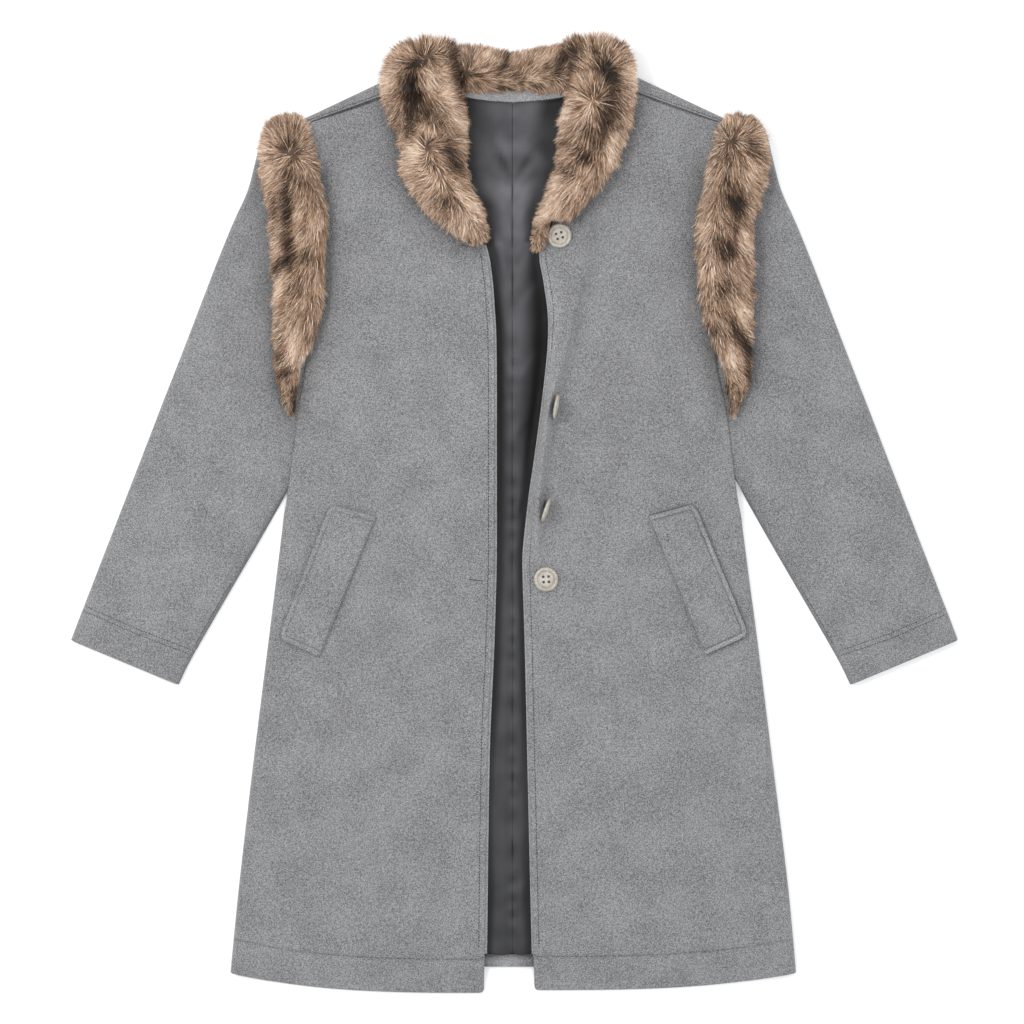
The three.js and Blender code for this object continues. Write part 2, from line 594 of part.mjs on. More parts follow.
function sleeveUpper(side) {
  const last = SLEEVE.length - 1;
  const rows = [...HEAD_ROWS];
  for (let place = 1; place <= last - 2; place += 1) rows.push({ place, angle: 90 });
  const [cuff, above] = [SLEEVE[last], SLEEVE[last - 2]];
  const cuffSpan = Math.hypot(cuff.outX - above.outX, cuff.outY - above.outY);
  const hemPlace = last - (2 * CUFF_DEPTH) / cuffSpan;
  for (const place of [hemPlace - HEM_STEP, hemPlace + HEM_STEP, (hemPlace + last) / 2, last]) {
    rows.push({ place, angle: 90 });
  }
  const grid = rows.map(({ place, angle: headAngle }) => {
    const row = between(SLEEVE, place);
    const out = new THREE.Vector2(row.outX, row.outY);
    const inward = new THREE.Vector2(row.inX, row.inY).sub(out);
    const width = inward.length();
    inward.normalize();
    const free = soft((place - FREE_ROW + FREE_FADE.before) / FREE_FADE.over);
    const insets = FOLD_ANGLES.map((angle) => WOOL / 2 + ROLL * (1 - Math.cos(angle)));
    const spots = insets.map((inset, k) => ({ at: inset, angle: FOLD_ANGLES[k], low: ROLL_LOW }));
    const from = insets[insets.length - 1];
    const to = width - from;
    const steps = 7;
    for (let k = 1; k < steps; k += 1) spots.push({ at: mix(from, to, k / steps), angle: Math.PI / 2 });
    for (let k = insets.length - 1; k >= 0; k -= 1) {
      spots.push({ at: width - insets[k], angle: FOLD_ANGLES[k], inner: true });
    }
    return spots.map(({ at, angle, inner }) => {
      const point = out.clone().addScaledVector(inward, at);
      const full = sleeveMiddle(side, point.x, point.y);
      const low = inner ? mix(full, ROLL_LOW, free) : ROLL_LOW;
      const folded = mix(low, full, Math.sin(angle));
      const z = mix(ROLL_LOW, folded, Math.sin(radians(headAngle)));
      return new THREE.Vector3(SIGN[side] * point.x, point.y, z);
    });
  });
  const hemRow = rows.length - 3;
  const flat = FOLD_ANGLES.length;
  const extra = (i, j) => {
    const double = i >= hemRow && j >= flat && j < grid[0].length - flat;
    return double ? HEM_WOOL - WOOL : 0;
  };
  grid.forEach((points, i) => points.forEach((point, j) => {
    point.z += extra(i, j) / 2;
  }));
  return wall(grid, (i, j) => WOOL + extra(i, j));
}

// Outline of the under side of a sleeve, just inside the upper side's folds.
function sleeveUnderOutline(side) {
  const last = SLEEVE.length - 1;
  const outer = [];
  const inner = [];
  for (const place of [0.5, ...Array.from({ length: last }, (_, k) => k + 1)]) {
    const row = between(SLEEVE, place);
    const step = new THREE.Vector2(row.inX - row.outX, row.inY - row.outY).setLength(BACK_INSET);
    outer.push([row.outX + step.x, row.outY + step.y]);
    if (place >= FREE_ROW) inner.push([row.inX - step.x, row.inY - step.y]);
  }
  const armhole = BACK_ARMHOLE.filter((row) => row.y > 50).map((row) => [row.across + SEAM, row.y]);
  const outline = [...outer, ...inner.reverse(), ...armhole];
  return outline.map(([x, y]) => [SIGN[side] * x, y]);
}

// ---- Back, lining and facings ------------------------------------------------------------

function backOutlineHalf(side) {
  const points = [];
  const hem = (across) => BACK_HEM.y - BACK_HEM.bow * (across / BACK_HEM.halfWidth) ** 2;
  for (let part = 0; part < 1; part += 0.25) {
    const across = part * BACK_HEM.halfWidth;
    points.push([across, hem(across)]);
  }
  const corner = value(SIDE_EDGE, side, HEM_SIDE_Y) - BACK_INSET;
  points.push([corner, hem(corner)]);
  for (const row of SIDE_EDGE.filter((r) => r.y > HEM_SIDE_Y && r.y < 0)) {
    points.push([row[side] - BACK_INSET, row.y]);
  }
  for (const row of BACK_ARMHOLE) points.push([row.across, row.y]);
  const inset = BACK_INSET + ROLL / 2;
  points.push([SHOULDER.tip - SEAM, shoulderFoldY(SHOULDER.tip) - inset]);
  points.push([SHOULDER.neck, shoulderFoldY(SHOULDER.neck) - inset]);
  for (const row of NECKLINE) points.push([row.across, row.y]);
  return points.map(([x, y]) => [SIGN[side] * x, y]);
}

// The back's cloth folded over the shoulder, as far as the seam with the front.
function shoulderLip(side) {
  const radius = UNDERSIDE / 2;
  const middle = new THREE.Vector2(WOOL / 2 + radius, WOOL / 2 + radius);
  const slopeLength = Math.hypot(1, SHOULDER.slope);
  const inward = new THREE.Vector2(-SHOULDER.slope, -1).divideScalar(slopeLength);
  const grid = [];
  const steps = 5;
  for (let i = 0; i <= steps; i += 1) {
    const across = mix(SHOULDER.neck, SHOULDER.tip - SEAM, i / steps);
    const foldY = shoulderFoldY(across);
    const seamDepth = (foldY - shoulderSeamY(across)) / slopeLength - SEAM / 2;
    const profile = [[SHOULDER_LIP, WOOL / 2]];
    for (let angle = -90; angle <= 90; angle += 30) {
      const turn = radians(angle);
      profile.push([middle.x - radius * Math.cos(turn), middle.y + radius * Math.sin(turn)]);
    }
    profile.push([Math.max(seamDepth, middle.x + 0.5), UNDERSIDE + WOOL / 2]);
    grid.push(profile.map(([depth, z]) => new THREE.Vector3(
      SIGN[side] * (across + inward.x * depth),
      foldY + inward.y * depth,
      z,
    )));
  }
  return wall(grid, WOOL);
}

function backPiece() {
  const outline = [...backOutlineHalf('left'), ...backOutlineHalf('right').slice(1).reverse()];
  let solid = toManifold(plate(outline, 0, WOOL));
  for (const side of ['right', 'left']) solid = solid.add(toManifold(shoulderLip(side)));
  return fromManifold(solid);
}

// Soft folds across the lining, strongest beside its centre seam: height of each and its place.
const LINING_FOLDS = [
  { y: 425, tilt: -0.5, width: 20, rise: 1.6 },
  { y: 372, tilt: 0.6, width: 22, rise: 2.2 },
  { y: 318, tilt: -0.3, width: 18, rise: 1.8 },
  { y: 262, tilt: 0.3, width: 20, rise: 1.9 },
  { y: 205, tilt: -0.2, width: 16, rise: 1.4 },
  { y: 150, tilt: 0.4, width: 18, rise: 1.5 },
  { y: 92, tilt: -0.3, width: 16, rise: 1.3 },
  { y: 38, tilt: 0.2, width: 16, rise: 1.4 },
  { y: -20, tilt: -0.2, width: 14, rise: 1 },
  { y: -95, tilt: 0.3, width: 18, rise: 1.2 },
  { y: -180, tilt: -0.3, width: 18, rise: 1.1 },
  { y: -290, tilt: 0.2, width: 20, rise: 1.2 },
  { y: -390, tilt: -0.2, width: 20, rise: 1 },
];

// The folds die out beside the front edges and at the centre seam.
const LINING_PRESSED = { beside: 2.5, fade: 9, seamFade: 4 };

function liningRise(side, across, y) {
  const seamGap = Math.abs(across * SIGN[side] - LINING_SEAM_X);
  const edge = value(FRONT_EDGE, side, y) - LINING_PRESSED.beside;
  const shown = soft((edge - across) / LINING_PRESSED.fade);
  let rise = 0;
  for (const fold of LINING_FOLDS) {
    const far = (y - fold.y - fold.tilt * seamGap) / fold.width;
    rise = Math.max(rise, fold.rise * Math.exp(-far * far));
  }
  return rise * shown * soft(seamGap / LINING_PRESSED.seamFade);
}

// The top of the lining, where the neck facing begins.
function neckFacingY(x) {
  const { y, bow, bowAcross, mostBow } = NECK_FACING;
  return y + Math.min(bow * (x / bowAcross) ** 2, mostBow);
}

function liningHalf(side) {
  const rows = 28;
  const parts = [0, 0.15, 0.36, 0.6, 0.84, 1];    // columns from the outer edge to the seam
  const grid = [];
  for (let i = 0; i <= rows; i += 1) {
    const y = mix(LINING_HEM_Y, neckFacingY(0) - 2 * SEAM, i / rows);
    const outer = value(FRONT_EDGE, side, Math.min(y, LINING_TOP_Y)) + LINING_TUCK;
    const seam = SIGN[side] * LINING_SEAM_X + SEAM / 2;
    grid.push(parts.map((part) => {
      const across = mix(outer, seam, part);
      const z = WOOL + SEAM + SATIN / 2 + liningRise(side, across, y);
      const top = neckFacingY(across) - neckFacingY(0);
      const lean = soft((y - LINING_LEAN.from) / LINING_LEAN.over);
      return new THREE.Vector3(SIGN[side] * across, y + top * lean, z);
    }));
  }
  return wall(grid, SATIN);
}

function frontFacing(side) {
  const rows = 20;
  const grid = [];
  const z = UNDERSIDE + EDGE_LIFT - SEAM - FACING / 2;
  for (let i = 0; i <= rows; i += 1) {
    const y = mix(FACING_HEM_Y, FACING_TOP_Y[side], i / rows);
    const edge = value(FRONT_EDGE, side, y);
    grid.push([0, 0.5, 1].map((part) => new THREE.Vector3(
      SIGN[side] * mix(edge + FACING_WIDTH[side], edge, part),
      y,
      z,
    )));
  }
  return wall(grid, FACING);
}

function neckFacing() {
  const { reach, wall: thickness } = NECK_FACING;
  const steps = 10;
  const low = Array.from({ length: steps + 1 }, (_, k) => {
    const x = mix(-reach, reach, k / steps);
    return [x, neckFacingY(x) + SEAM / 2];
  });
  return plate([...low, [reach, NECK_Y], [-reach, NECK_Y]], WOOL + SEAM, thickness);
}

function hemFacing() {
  const left = value(FRONT_EDGE, 'left', BACK_HEM.y) + LINING_TUCK;
  const right = -value(FRONT_EDGE, 'right', BACK_HEM.y) - LINING_TUCK;
  const [low, high] = [BACK_HEM.y, LINING_HEM_Y - SEAM];
  const outline = [[right, low], [left, low], [left, high], [right, high]];
  return plate(outline, WOOL + SEAM, HEM_FACING);
}

// ---- Fur, pocket welts and buttons -------------------------------------------------------

const FUR_SLANT = 0.28;         // part of the width over which the underside slants up
const FUR_ANGLES = [-35, -8, 18, 44, 68, 90, 112, 136, 162, 188, 215].map(radians);

// A roll of fur: round on top, flat below, lying on what the rows say.
function furPiece(rows, steps) {
  const sections = [];
  for (let i = 0; i <= steps; i += 1) {
    const row = between(rows, ((rows.length - 1) * i) / steps);
    const inner = new THREE.Vector2(row.inX, row.inY);
    const outer = new THREE.Vector2(row.outX, row.outY);
    const lift = Math.sin(-FUR_ANGLES[0]);
    const radius = row.height / (1 + lift);
    const section = FUR_ANGLES.map((angle) => {
      const part = (1 + Math.cos(angle)) / 2;
      const spot = inner.clone().lerp(outer, part);
      const low = mix(row.lowIn, row.low, clamp(part / FUR_SLANT, 0, 1));
      return new THREE.Vector3(spot.x, spot.y, low + radius * (lift + Math.sin(angle)));
    });
    const under = inner.clone().lerp(outer, FUR_SLANT);
    section.push(new THREE.Vector3(under.x, under.y, row.low));
    sections.push(section);
  }
  return loft(sections);
}

function frontTop(side, across, y) {
  return frontUnderside(side, across, y) + WOOL;
}

// A welt over the pocket slit, a bent patch with two rounded corners.
function pocketWelt(side) {
  const corners = Object.fromEntries(Object.entries(POCKETS[side])
    .map(([name, [x, y]]) => [name, new THREE.Vector2(x, y)]));
  const length = corners.outerTop.distanceTo(corners.outerLow);
  const width = corners.outerTop.distanceTo(corners.innerTop);
  const along = [0, 0.09, 0.29, 0.57, 1].map((part) => (part * WELT_ROUND) / length);
  const places = [...along, 0.28, 0.5, 0.72, ...along.map((place) => 1 - place).reverse()];
  const grid = places.map((place) => {
    const fromEnd = Math.min(place, 1 - place) * length;
    const cut = WELT_ROUND - Math.min(WELT_ROUND, fromEnd);
    const round = WELT_ROUND - Math.sqrt(Math.max(0, WELT_ROUND ** 2 - cut ** 2));
    const outer = corners.outerTop.clone().lerp(corners.outerLow, place);
    const inner = corners.innerTop.clone().lerp(corners.innerLow, place);
    outer.lerp(inner, round / width);
    return [0, 0.25, 0.5, 0.75, 1].map((part) => {
      const spot = outer.clone().lerp(inner, part);
      const z = frontTop(side, spot.x, spot.y) + SEAM + WELT / 2;
      return new THREE.Vector3(SIGN[side] * spot.x, spot.y, z);
    });
  });
  return wall(grid, WELT);
}

function buttonShape() {
  const { radius, thickness, hole, holeOffset } = BUTTON;
  // From the middle of the back round the rim to the sunken middle of the front.
  const profile = [
    [0, 0],
    [radius - 1.6, 0],
    [radius, 1.3],
    [radius, 2.2],
    [radius - 0.9, thickness - 0.1],
    [radius - 2, thickness],
    [radius - 3.4, thickness - 1],
    [0, thickness - 1.3],
  ].map(([r, z]) => new THREE.Vector2(r, z));
  const disc = new THREE.LatheGeometry(profile, 20);
  disc.rotateX(Math.PI / 2);
  let solid = toManifold(disc);
  for (const [x, y] of [[1, 1], [1, -1], [-1, 1], [-1, -1]]) {
    const drill = new THREE.CylinderGeometry(hole, hole, 3 * thickness, 7);
    drill.rotateX(Math.PI / 2);
    drill.translate(x * holeOffset, y * holeOffset, 0);
    solid = solid.subtract(toManifold(drill));
  }
  return fromManifold(solid);
}

// Direction that the top of the left front faces at a place, found over 4 mm each way.
function clothNormal(across, y) {
  const step = 4;
  const slopeX = (frontTop('left', across + step, y) - frontTop('left', across - step, y)) / (2 * step);
  const slopeY = (frontTop('left', across, y + step) - frontTop('left', across, y - step)) / (2 * step);
  return new THREE.Vector3(-slopeX, -slopeY, 1).normalize();
}

function placeButton(mesh, { x, y, z, lean, heading, spin }) {
  const up = new THREE.Vector3(0, 0, 1);
  if (lean) {
    const face = new THREE.Vector3(0, 0, 1)
      .applyAxisAngle(new THREE.Vector3(0, 1, 0), radians(lean))
      .applyAxisAngle(up, radians(heading));
    mesh.quaternion.setFromUnitVectors(up, face);
    mesh.position.set(x, y, z).addScaledVector(face, -BUTTON.thickness / 2);
  } else {
    const face = clothNormal(x, y);
    mesh.quaternion.setFromUnitVectors(up, face);
    mesh.position.set(x, y, frontTop('left', x, y)).addScaledVector(face, BUTTON.lift);
  }
  mesh.quaternion.multiply(new THREE.Quaternion().setFromAxisAngle(up, radians(spin)));
}

// ---- The coat ----------------------------------------------------------------------------

addPiece('back_panel', backPiece(), 'wool');
addPiece('neck_facing', neckFacing(), 'facing');
addPiece('hem_facing', hemFacing(), 'facing');
for (const side of ['right', 'left']) {
  addPiece(`sleeve_under_${side}`, plate(sleeveUnderOutline(side), 0, WOOL), 'wool');
  addPiece(`sleeve_upper_${side}`, sleeveUpper(side), 'wool');
  addPiece(`lining_${side}`, liningHalf(side), 'lining');
  addPiece(`facing_${side}`, frontFacing(side), 'facing');
  addPiece(`front_${side}`, frontPiece(side), 'wool');
  addPiece(`pocket_welt_${side}`, pocketWelt(side), 'wool');
}
addPiece('fur_collar_right', furPiece(COLLAR_RIGHT, 20), 'fur');
addPiece('fur_collar_left', furPiece(COLLAR_LEFT, 20), 'fur');
addPiece('fur_collar_back', furPiece(COLLAR_BACK, 6), 'fur');
addPiece('fur_trim_right', furPiece(TRIM_RIGHT, 16), 'fur');
addPiece('fur_trim_left', furPiece(TRIM_LEFT, 16), 'fur');
for (const button of BUTTONS) placeButton(addPiece(button.name, buttonShape(), 'horn'), button);

export default coat;
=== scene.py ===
"""A women's wool coat with a fur collar and fur armhole trims, laid flat on its back, front open.

Lengths are millimetres in the frame's own axes until a mesh is made: +Z up, the collar towards
+Y, the wearer's left towards +X. "Across" is measured from the middle line on either side.
"""

import json
import math

import bmesh
import bpy
import numpy as np
from mathutils import Matrix, Quaternion, Vector
from mathutils.bvhtree import BVHTree

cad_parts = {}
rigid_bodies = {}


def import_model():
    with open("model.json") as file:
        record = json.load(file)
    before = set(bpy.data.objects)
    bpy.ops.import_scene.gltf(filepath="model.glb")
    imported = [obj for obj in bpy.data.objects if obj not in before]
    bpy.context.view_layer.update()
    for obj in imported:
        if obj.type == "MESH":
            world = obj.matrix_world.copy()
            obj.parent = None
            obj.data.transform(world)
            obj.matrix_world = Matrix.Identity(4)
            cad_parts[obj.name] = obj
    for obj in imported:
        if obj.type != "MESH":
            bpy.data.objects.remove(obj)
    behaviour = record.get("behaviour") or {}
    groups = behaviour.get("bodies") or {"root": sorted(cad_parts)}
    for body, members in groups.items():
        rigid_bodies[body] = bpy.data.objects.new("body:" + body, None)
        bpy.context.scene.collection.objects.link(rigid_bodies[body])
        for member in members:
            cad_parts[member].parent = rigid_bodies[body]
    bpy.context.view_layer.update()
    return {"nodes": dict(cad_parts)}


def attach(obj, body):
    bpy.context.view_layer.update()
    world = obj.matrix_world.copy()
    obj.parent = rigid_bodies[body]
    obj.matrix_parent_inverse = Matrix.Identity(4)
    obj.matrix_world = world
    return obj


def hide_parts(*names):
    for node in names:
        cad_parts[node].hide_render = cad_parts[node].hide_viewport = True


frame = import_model()

MM = 0.001
SIDES = ("right", "left")
SIGN = {"right": -1, "left": 1}

# ---- Camera, lights and floor --------------------------------------------------------------------

VIEW_MIDDLE = (-2.75, 1.65)
VIEW_WIDTH = 1126.4            # across the view at the height of the cloth
CLOTH_HEIGHT = 8.0
LENS, SENSOR = 85.0, 36.0
FARTHEST = 20.0                # metres that the camera sees
SKY_COLOUR = (0.97, 0.985, 1.0, 1.0)
# The sky's strength goes from "To Min" near the horizon to "To Max" overhead.
SKY = {"From Min": 0.35, "From Max": 0.85, "To Min": 1.36, "To Max": 0.78}
LIGHTS = [                     # name, place in metres, size, watts and colour
    ("key light", (-1.5, 0.8, 2.0), 0.6, 22, (1.0, 0.985, 0.96)),
    ("top light", (0.35, 0.25, 2.9), 0.5, 21, (1.0, 1.0, 1.0))]
FLOOR_HALF = 4.0               # metres
FLOOR_COLOUR = (0.92, 0.92, 0.92, 1)
FLOOR_ROUGHNESS = 0.9


def add_camera():
    data = bpy.data.cameras.new("camera")
    data.lens = LENS
    data.sensor_width = SENSOR
    data.clip_end = FARTHEST
    camera = bpy.data.objects.new("camera", data)
    height = CLOTH_HEIGHT + VIEW_WIDTH * LENS / SENSOR
    camera.location = Vector((*VIEW_MIDDLE, height)) * MM
    bpy.context.collection.objects.link(camera)
    bpy.context.scene.camera = camera


def add_light(name, place, size, watts, colour):
    data = bpy.data.lights.new(name, "AREA")
    data.shape = "DISK"
    data.size = size
    data.energy = watts
    data.color = colour
    light = bpy.data.objects.new(name, data)
    light.location = place
    light.rotation_euler = (-Vector(place)).to_track_quat("-Z", "Y").to_euler()
    bpy.context.collection.objects.link(light)


def add_sky():
    world = bpy.data.worlds.new("studio")
    world.use_nodes = True
    nodes, links = world.node_tree.nodes, world.node_tree.links
    background = nodes["Background"]
    background.inputs["Color"].default_value = SKY_COLOUR
    place = nodes.new("ShaderNodeTexCoord")
    split = nodes.new("ShaderNodeSeparateXYZ")
    fade = nodes.new("ShaderNodeMapRange")
    links.new(place.outputs["Generated"], split.inputs[0])
    links.new(split.outputs["Z"], fade.inputs["Value"])
    for label, value in SKY.items():
        fade.inputs[label].default_value = value
    links.new(fade.outputs["Result"], background.inputs["Strength"])
    bpy.context.scene.world = world


def add_floor():
    half = FLOOR_HALF
    mesh = bpy.data.meshes.new("floor")
    mesh.from_pydata([(-half, -half, 0), (half, -half, 0), (half, half, 0), (-half, half, 0)],
                     [], [(0, 1, 2, 3)])
    floor = bpy.data.objects.new("floor", mesh)
    bpy.context.collection.objects.link(floor)
    paint = base_material("floor", Base_Color=FLOOR_COLOUR, Roughness=FLOOR_ROUGHNESS)[0]
    mesh.materials.append(paint)


# ---- Sizes of the coat, as in the solids ---------------------------------------------------------

WOOL = 2.2
HEM_WOOL = 3.4
SATIN = 0.8
SEAM = 0.3
SATIN_GAP = 0.08               # between the lining's halves, closed up by their soft edges
UNDERSIDE = 5.6                # underside of the fronts and upper sleeves
EDGE_LIFT, EDGE_LIFT_WIDTH = 0.3, 26
ROLL, ROLL_LOW = 4.5, 0.4      # the rounded side folds
LEAST_HEIGHT = 0.1
HEM_SIDE_Y = -506
HEM_DEPTH = 38
HEM_BOW = {"right": 22.5, "left": 19.5}
HEM_FALL_FROM, HEM_FALL, HEM_REST = -496, 22, 0.5
CORNER = 4
BACK_HEM_Y = -499.4
HEM_FACING = 1.4
LINING_HEM_Y = -485.6
LINING_SEAM_X = -2.2
LINING_TUCK = 12               # how far the lining goes on under the fronts
LINING_TOP_Y = 445
LINING_SHOWS = {"from": 2.5, "over": 9}   # from under the front's edge to its full relief
LINING_LEAN = {"from": 380, "over": 70}
NECK_Y = 466.6
NECK_FACING = {"y": 452.6, "bow": 4.4, "bow_across": 46, "most_bow": 7.5, "reach": 74,
               "wall": 1.8}
SHOULDER_SEAM = {"start_y": 430.6, "start": 225, "slope": 0.356}
BAND = {"right": 2.8, "left": 2.0}
FACING_WIDTH = {"right": 12, "left": 6.5}
FACING = 2.0
FACING_TOP_Y = {"right": 296, "left": 292}
FACING_HEM_Y = -485.2
WELT = 2.4
WELT_ROUND = 11
WELT_LENGTH, WELT_WIDTH = 158, 52
WELT_LIFT = 0.7                # the sewn-down welt still stands a little off the front
CUFF_DEPTH = 37
# Where a sleeve dips to go under the front's side fold.
SLEEVE_DIVE = {"depth": 3, "width": 42, "low_y": -34, "low_fade": 36, "high_y": 205,
               "high_fade": 55}
FREE_ROW = 10                  # from this row on a sleeve's inner edge is clear of the body
BUTTON_WALL = 3.6
BUTTON_LIFT = 0.95


def table(names, rows):
    """A table of named columns."""
    return dict(zip(names.split(), np.array(rows, float).T))


SIDE_EDGE = table("y right left", [
    (-530, 315.5, 312.5), (-470, 309.8, 307.5), (-403, 303, 300.9), (-271, 287.7, 284.4),
    (-139, 271.2, 267.9), (-73, 263, 259), (-7, 254.7, 250.3), (83, 242.6, 237), (120, 237, 232),
    (161, 230.5, 223), (190, 230.5, 220), (250, 235, 229), (340, 238, 237), (432, 239, 239)])

FRONT_EDGE = table("y right left", [
    (-530, 31, 20.5), (-491, 30.3, 19.1), (-260, 27, 13.8), (-150, 22.3, 11.3), (-61, 19.5, 8.7),
    (-41, 19.3, 9), (18, 19.3, 15.4), (59, 19.3, 21.3), (121, 19.3, 29.7), (177, 19.6, 35.8),
    (203, 20.2, 37), (226, 21.6, 36), (254, 23.7, 32), (288, 28.8, 27.3), (311, 38, 36),
    (345, 57.8, 53), (380, 73, 71), (411, 80, 80), (441, 92, 92), (464, 112, 112),
    (472, 118, 118), (482, 120, 120)])

RIDGE = table("y crest rise foot", [
    (-600, 32, 0, 8), (-57, 27, 0, 8), (-44, 27, 2, 8), (-29, 26.8, 5, 7), (-12, 26.8, 9.5, 5),
    (4, 26.8, 12.5, 4.6), (20, 27.6, 12.5, 5.5), (37, 29, 11, 10), (60, 31.4, 10.5, 14),
    (85, 34, 13, 9), (101, 35.8, 16, 5), (118, 37.8, 17, 4.6), (134, 42.5, 15, 7),
    (155, 49, 12, 14), (177, 55, 10.5, 18), (213, 63.6, 9, 20), (243, 70, 7.5, 20),
    (270, 75, 6, 20), (298, 80, 4.5, 20), (334, 85.5, 2.5, 20), (372, 96, 0, 20),
    (500, 150, 0, 20)])
RIDGE_MARGIN = 7
DIP = {"depth": 3, "beyond": 3, "across": 8, "along": 15}

FOLD_LOW = table("y low", [
    (-600, ROLL_LOW), (-22, ROLL_LOW), (6, 6.3), (165, 6.3), (205, UNDERSIDE + WOOL / 2),
    (600, UNDERSIDE + WOOL / 2)])

SLEEVE = table("out_x out_y in_x in_y", [
    (263, 436.5, 239.5, 434), (276.5, 423, 239.3, 405), (285.5, 389, 238.8, 362),
    (294.3, 356, 237.9, 318), (309.2, 323, 236.6, 276), (322.9, 290, 235, 238),
    (337, 254, 229, 202), (361.5, 190, 219, 150), (379, 145, 219, 98), (390, 117, 232, 58),
    (399.6, 92, 252.5, 20.4), (425.1, 26, 284.5, -36), (453, -46, 323.5, -103),
    (477.8, -110, 357, -161.5), (489, -139.2, 370.2, -188.6)])

FUR_COLUMNS = "in_x in_y out_x out_y height low_in low"
FUR = {
    "collar_right": table(FUR_COLUMNS, [
        (-76, 528.5, -96, 528.3, 16, 3, 3), (-67, 524, -110, 521.5, 26, 4, 5),
        (-60.5, 515.5, -124, 511.5, 34, 5.5, 8), (-59.3, 498.9, -140.3, 496.7, 38, 6, 9),
        (-60, 472.5, -148.5, 470.3, 38, 6, 9), (-54, 447, -138, 438, 34, 5.6, 9),
        (-50.5, 413, -126.5, 405, 29, 5.6, 9), (-52, 384, -124.5, 372, 31, 5.6, 9),
        (-44.6, 358, -108.4, 346, 30, 6, 9), (-35.2, 338.3, -88.6, 325, 27, 7.5, 9),
        (-28.5, 320.7, -71, 309, 24, 8.6, 9), (-25.5, 303, -52.5, 296, 18, 8.6, 9),
        (-28, 291.5, -37.5, 289.5, 9, 8.6, 9)]),
    "collar_left": table(FUR_COLUMNS, [
        (71, 528.4, 90, 528.3, 16, 3, 3), (60, 524, 104, 521.5, 26, 4, 5),
        (53, 516, 118, 511.5, 34, 5.5, 8), (55.6, 498.9, 131.5, 496.7, 38, 6, 9),
        (58.6, 474, 134, 470.3, 38, 6, 9), (51.6, 443, 129.5, 438, 35, 5.6, 9),
        (46.8, 411, 119, 403, 32, 5.6, 9), (45.4, 384, 106, 376, 31, 5.6, 9.2),
        (35.8, 359, 88, 351, 29, 7, 10.2), (26, 338, 68.5, 328.5, 26, 8.6, 11.2),
        (19.5, 319.5, 45, 324.5, 21, 8.8, 11), (17.3, 303.5, 38, 304.5, 16, 8.8, 10.5),
        (19.8, 290.5, 31, 289.5, 10, 8.8, 9.5)]),
    "collar_back": table(FUR_COLUMNS, [
        (-58.3, 467.4, -58.9, 519, 27, 0.5, 0.5), (-30, 467.2, -30, 514, 25, 0.5, 0.5),
        (-2, 467.2, -2, 511, 23, 0.5, 0.5), (25, 467.2, 23, 514, 25, 0.5, 0.5),
        (57.5, 467.4, 51.5, 519, 27, 0.5, 0.5)]),
    "trim_right": table(FUR_COLUMNS, [
        (-238, 440.5, -262, 438.5, 13, 8.6, 8.6), (-224, 429, -277.5, 424, 22, 8.6, 8.6),
        (-218.5, 404, -281.5, 402, 27, 8.6, 8.6), (-212, 371, -280, 373, 29, 8.6, 8.6),
        (-204.5, 330, -270, 332, 30, 8.6, 8.6), (-205, 285, -268, 286, 30, 8.6, 8.6),
        (-208, 235, -265.5, 235, 29, 8.6, 8.6), (-218, 193, -266, 192, 27, 8.6, 8.6),
        (-231.6, 163, -264.5, 163, 23, 8.6, 8.4), (-236.4, 137, -260.5, 136, 19, 7, 7.2),
        (-241.2, 112, -249, 110, 9, 6.4, 6.6)]),
    "trim_left": table(FUR_COLUMNS, [
        (234, 441, 262, 438.5, 13, 8.6, 8.6), (222.5, 429, 276, 424, 22, 8.6, 8.6),
        (216, 404, 280.5, 402, 27, 8.6, 8.6), (208, 371, 279, 373, 29, 8.6, 8.6),
        (200, 330, 265.5, 332, 30, 8.6, 8.6), (198, 285, 262.5, 286, 30, 8.6, 8.6),
        (202, 235, 262, 235, 29, 8.6, 8.6), (212, 193, 262.5, 192, 27, 8.6, 8.6),
        (224.6, 163, 263, 163, 23, 8.6, 8.4), (231, 137, 257.5, 136, 19, 7, 7.2),
        (236, 112, 245.5, 110, 9, 6.4, 6.6)]),
}

POCKETS = {
    "right": {"inner_top": (152.4, -2.8), "outer_top": (203, 11), "outer_low": (260, -137),
              "inner_low": (215, -158)},
    "left": {"inner_top": (147.4, -1.7), "outer_top": (198.5, 12), "outer_low": (259, -134),
             "inner_low": (210.5, -156)},
}

BUTTONS = [
    {"x": 49.6, "y": 305.1, "spin": 17},
    {"x": 45.6, "y": 117.2, "z": 19.4, "lean": 86, "heading": -10.6, "spin": 30},
    {"x": 34.6, "y": 3.8, "z": 19.4, "lean": 86, "heading": -19.3, "spin": 10},
    {"x": 34.7, "y": -72.4, "spin": 3},
]

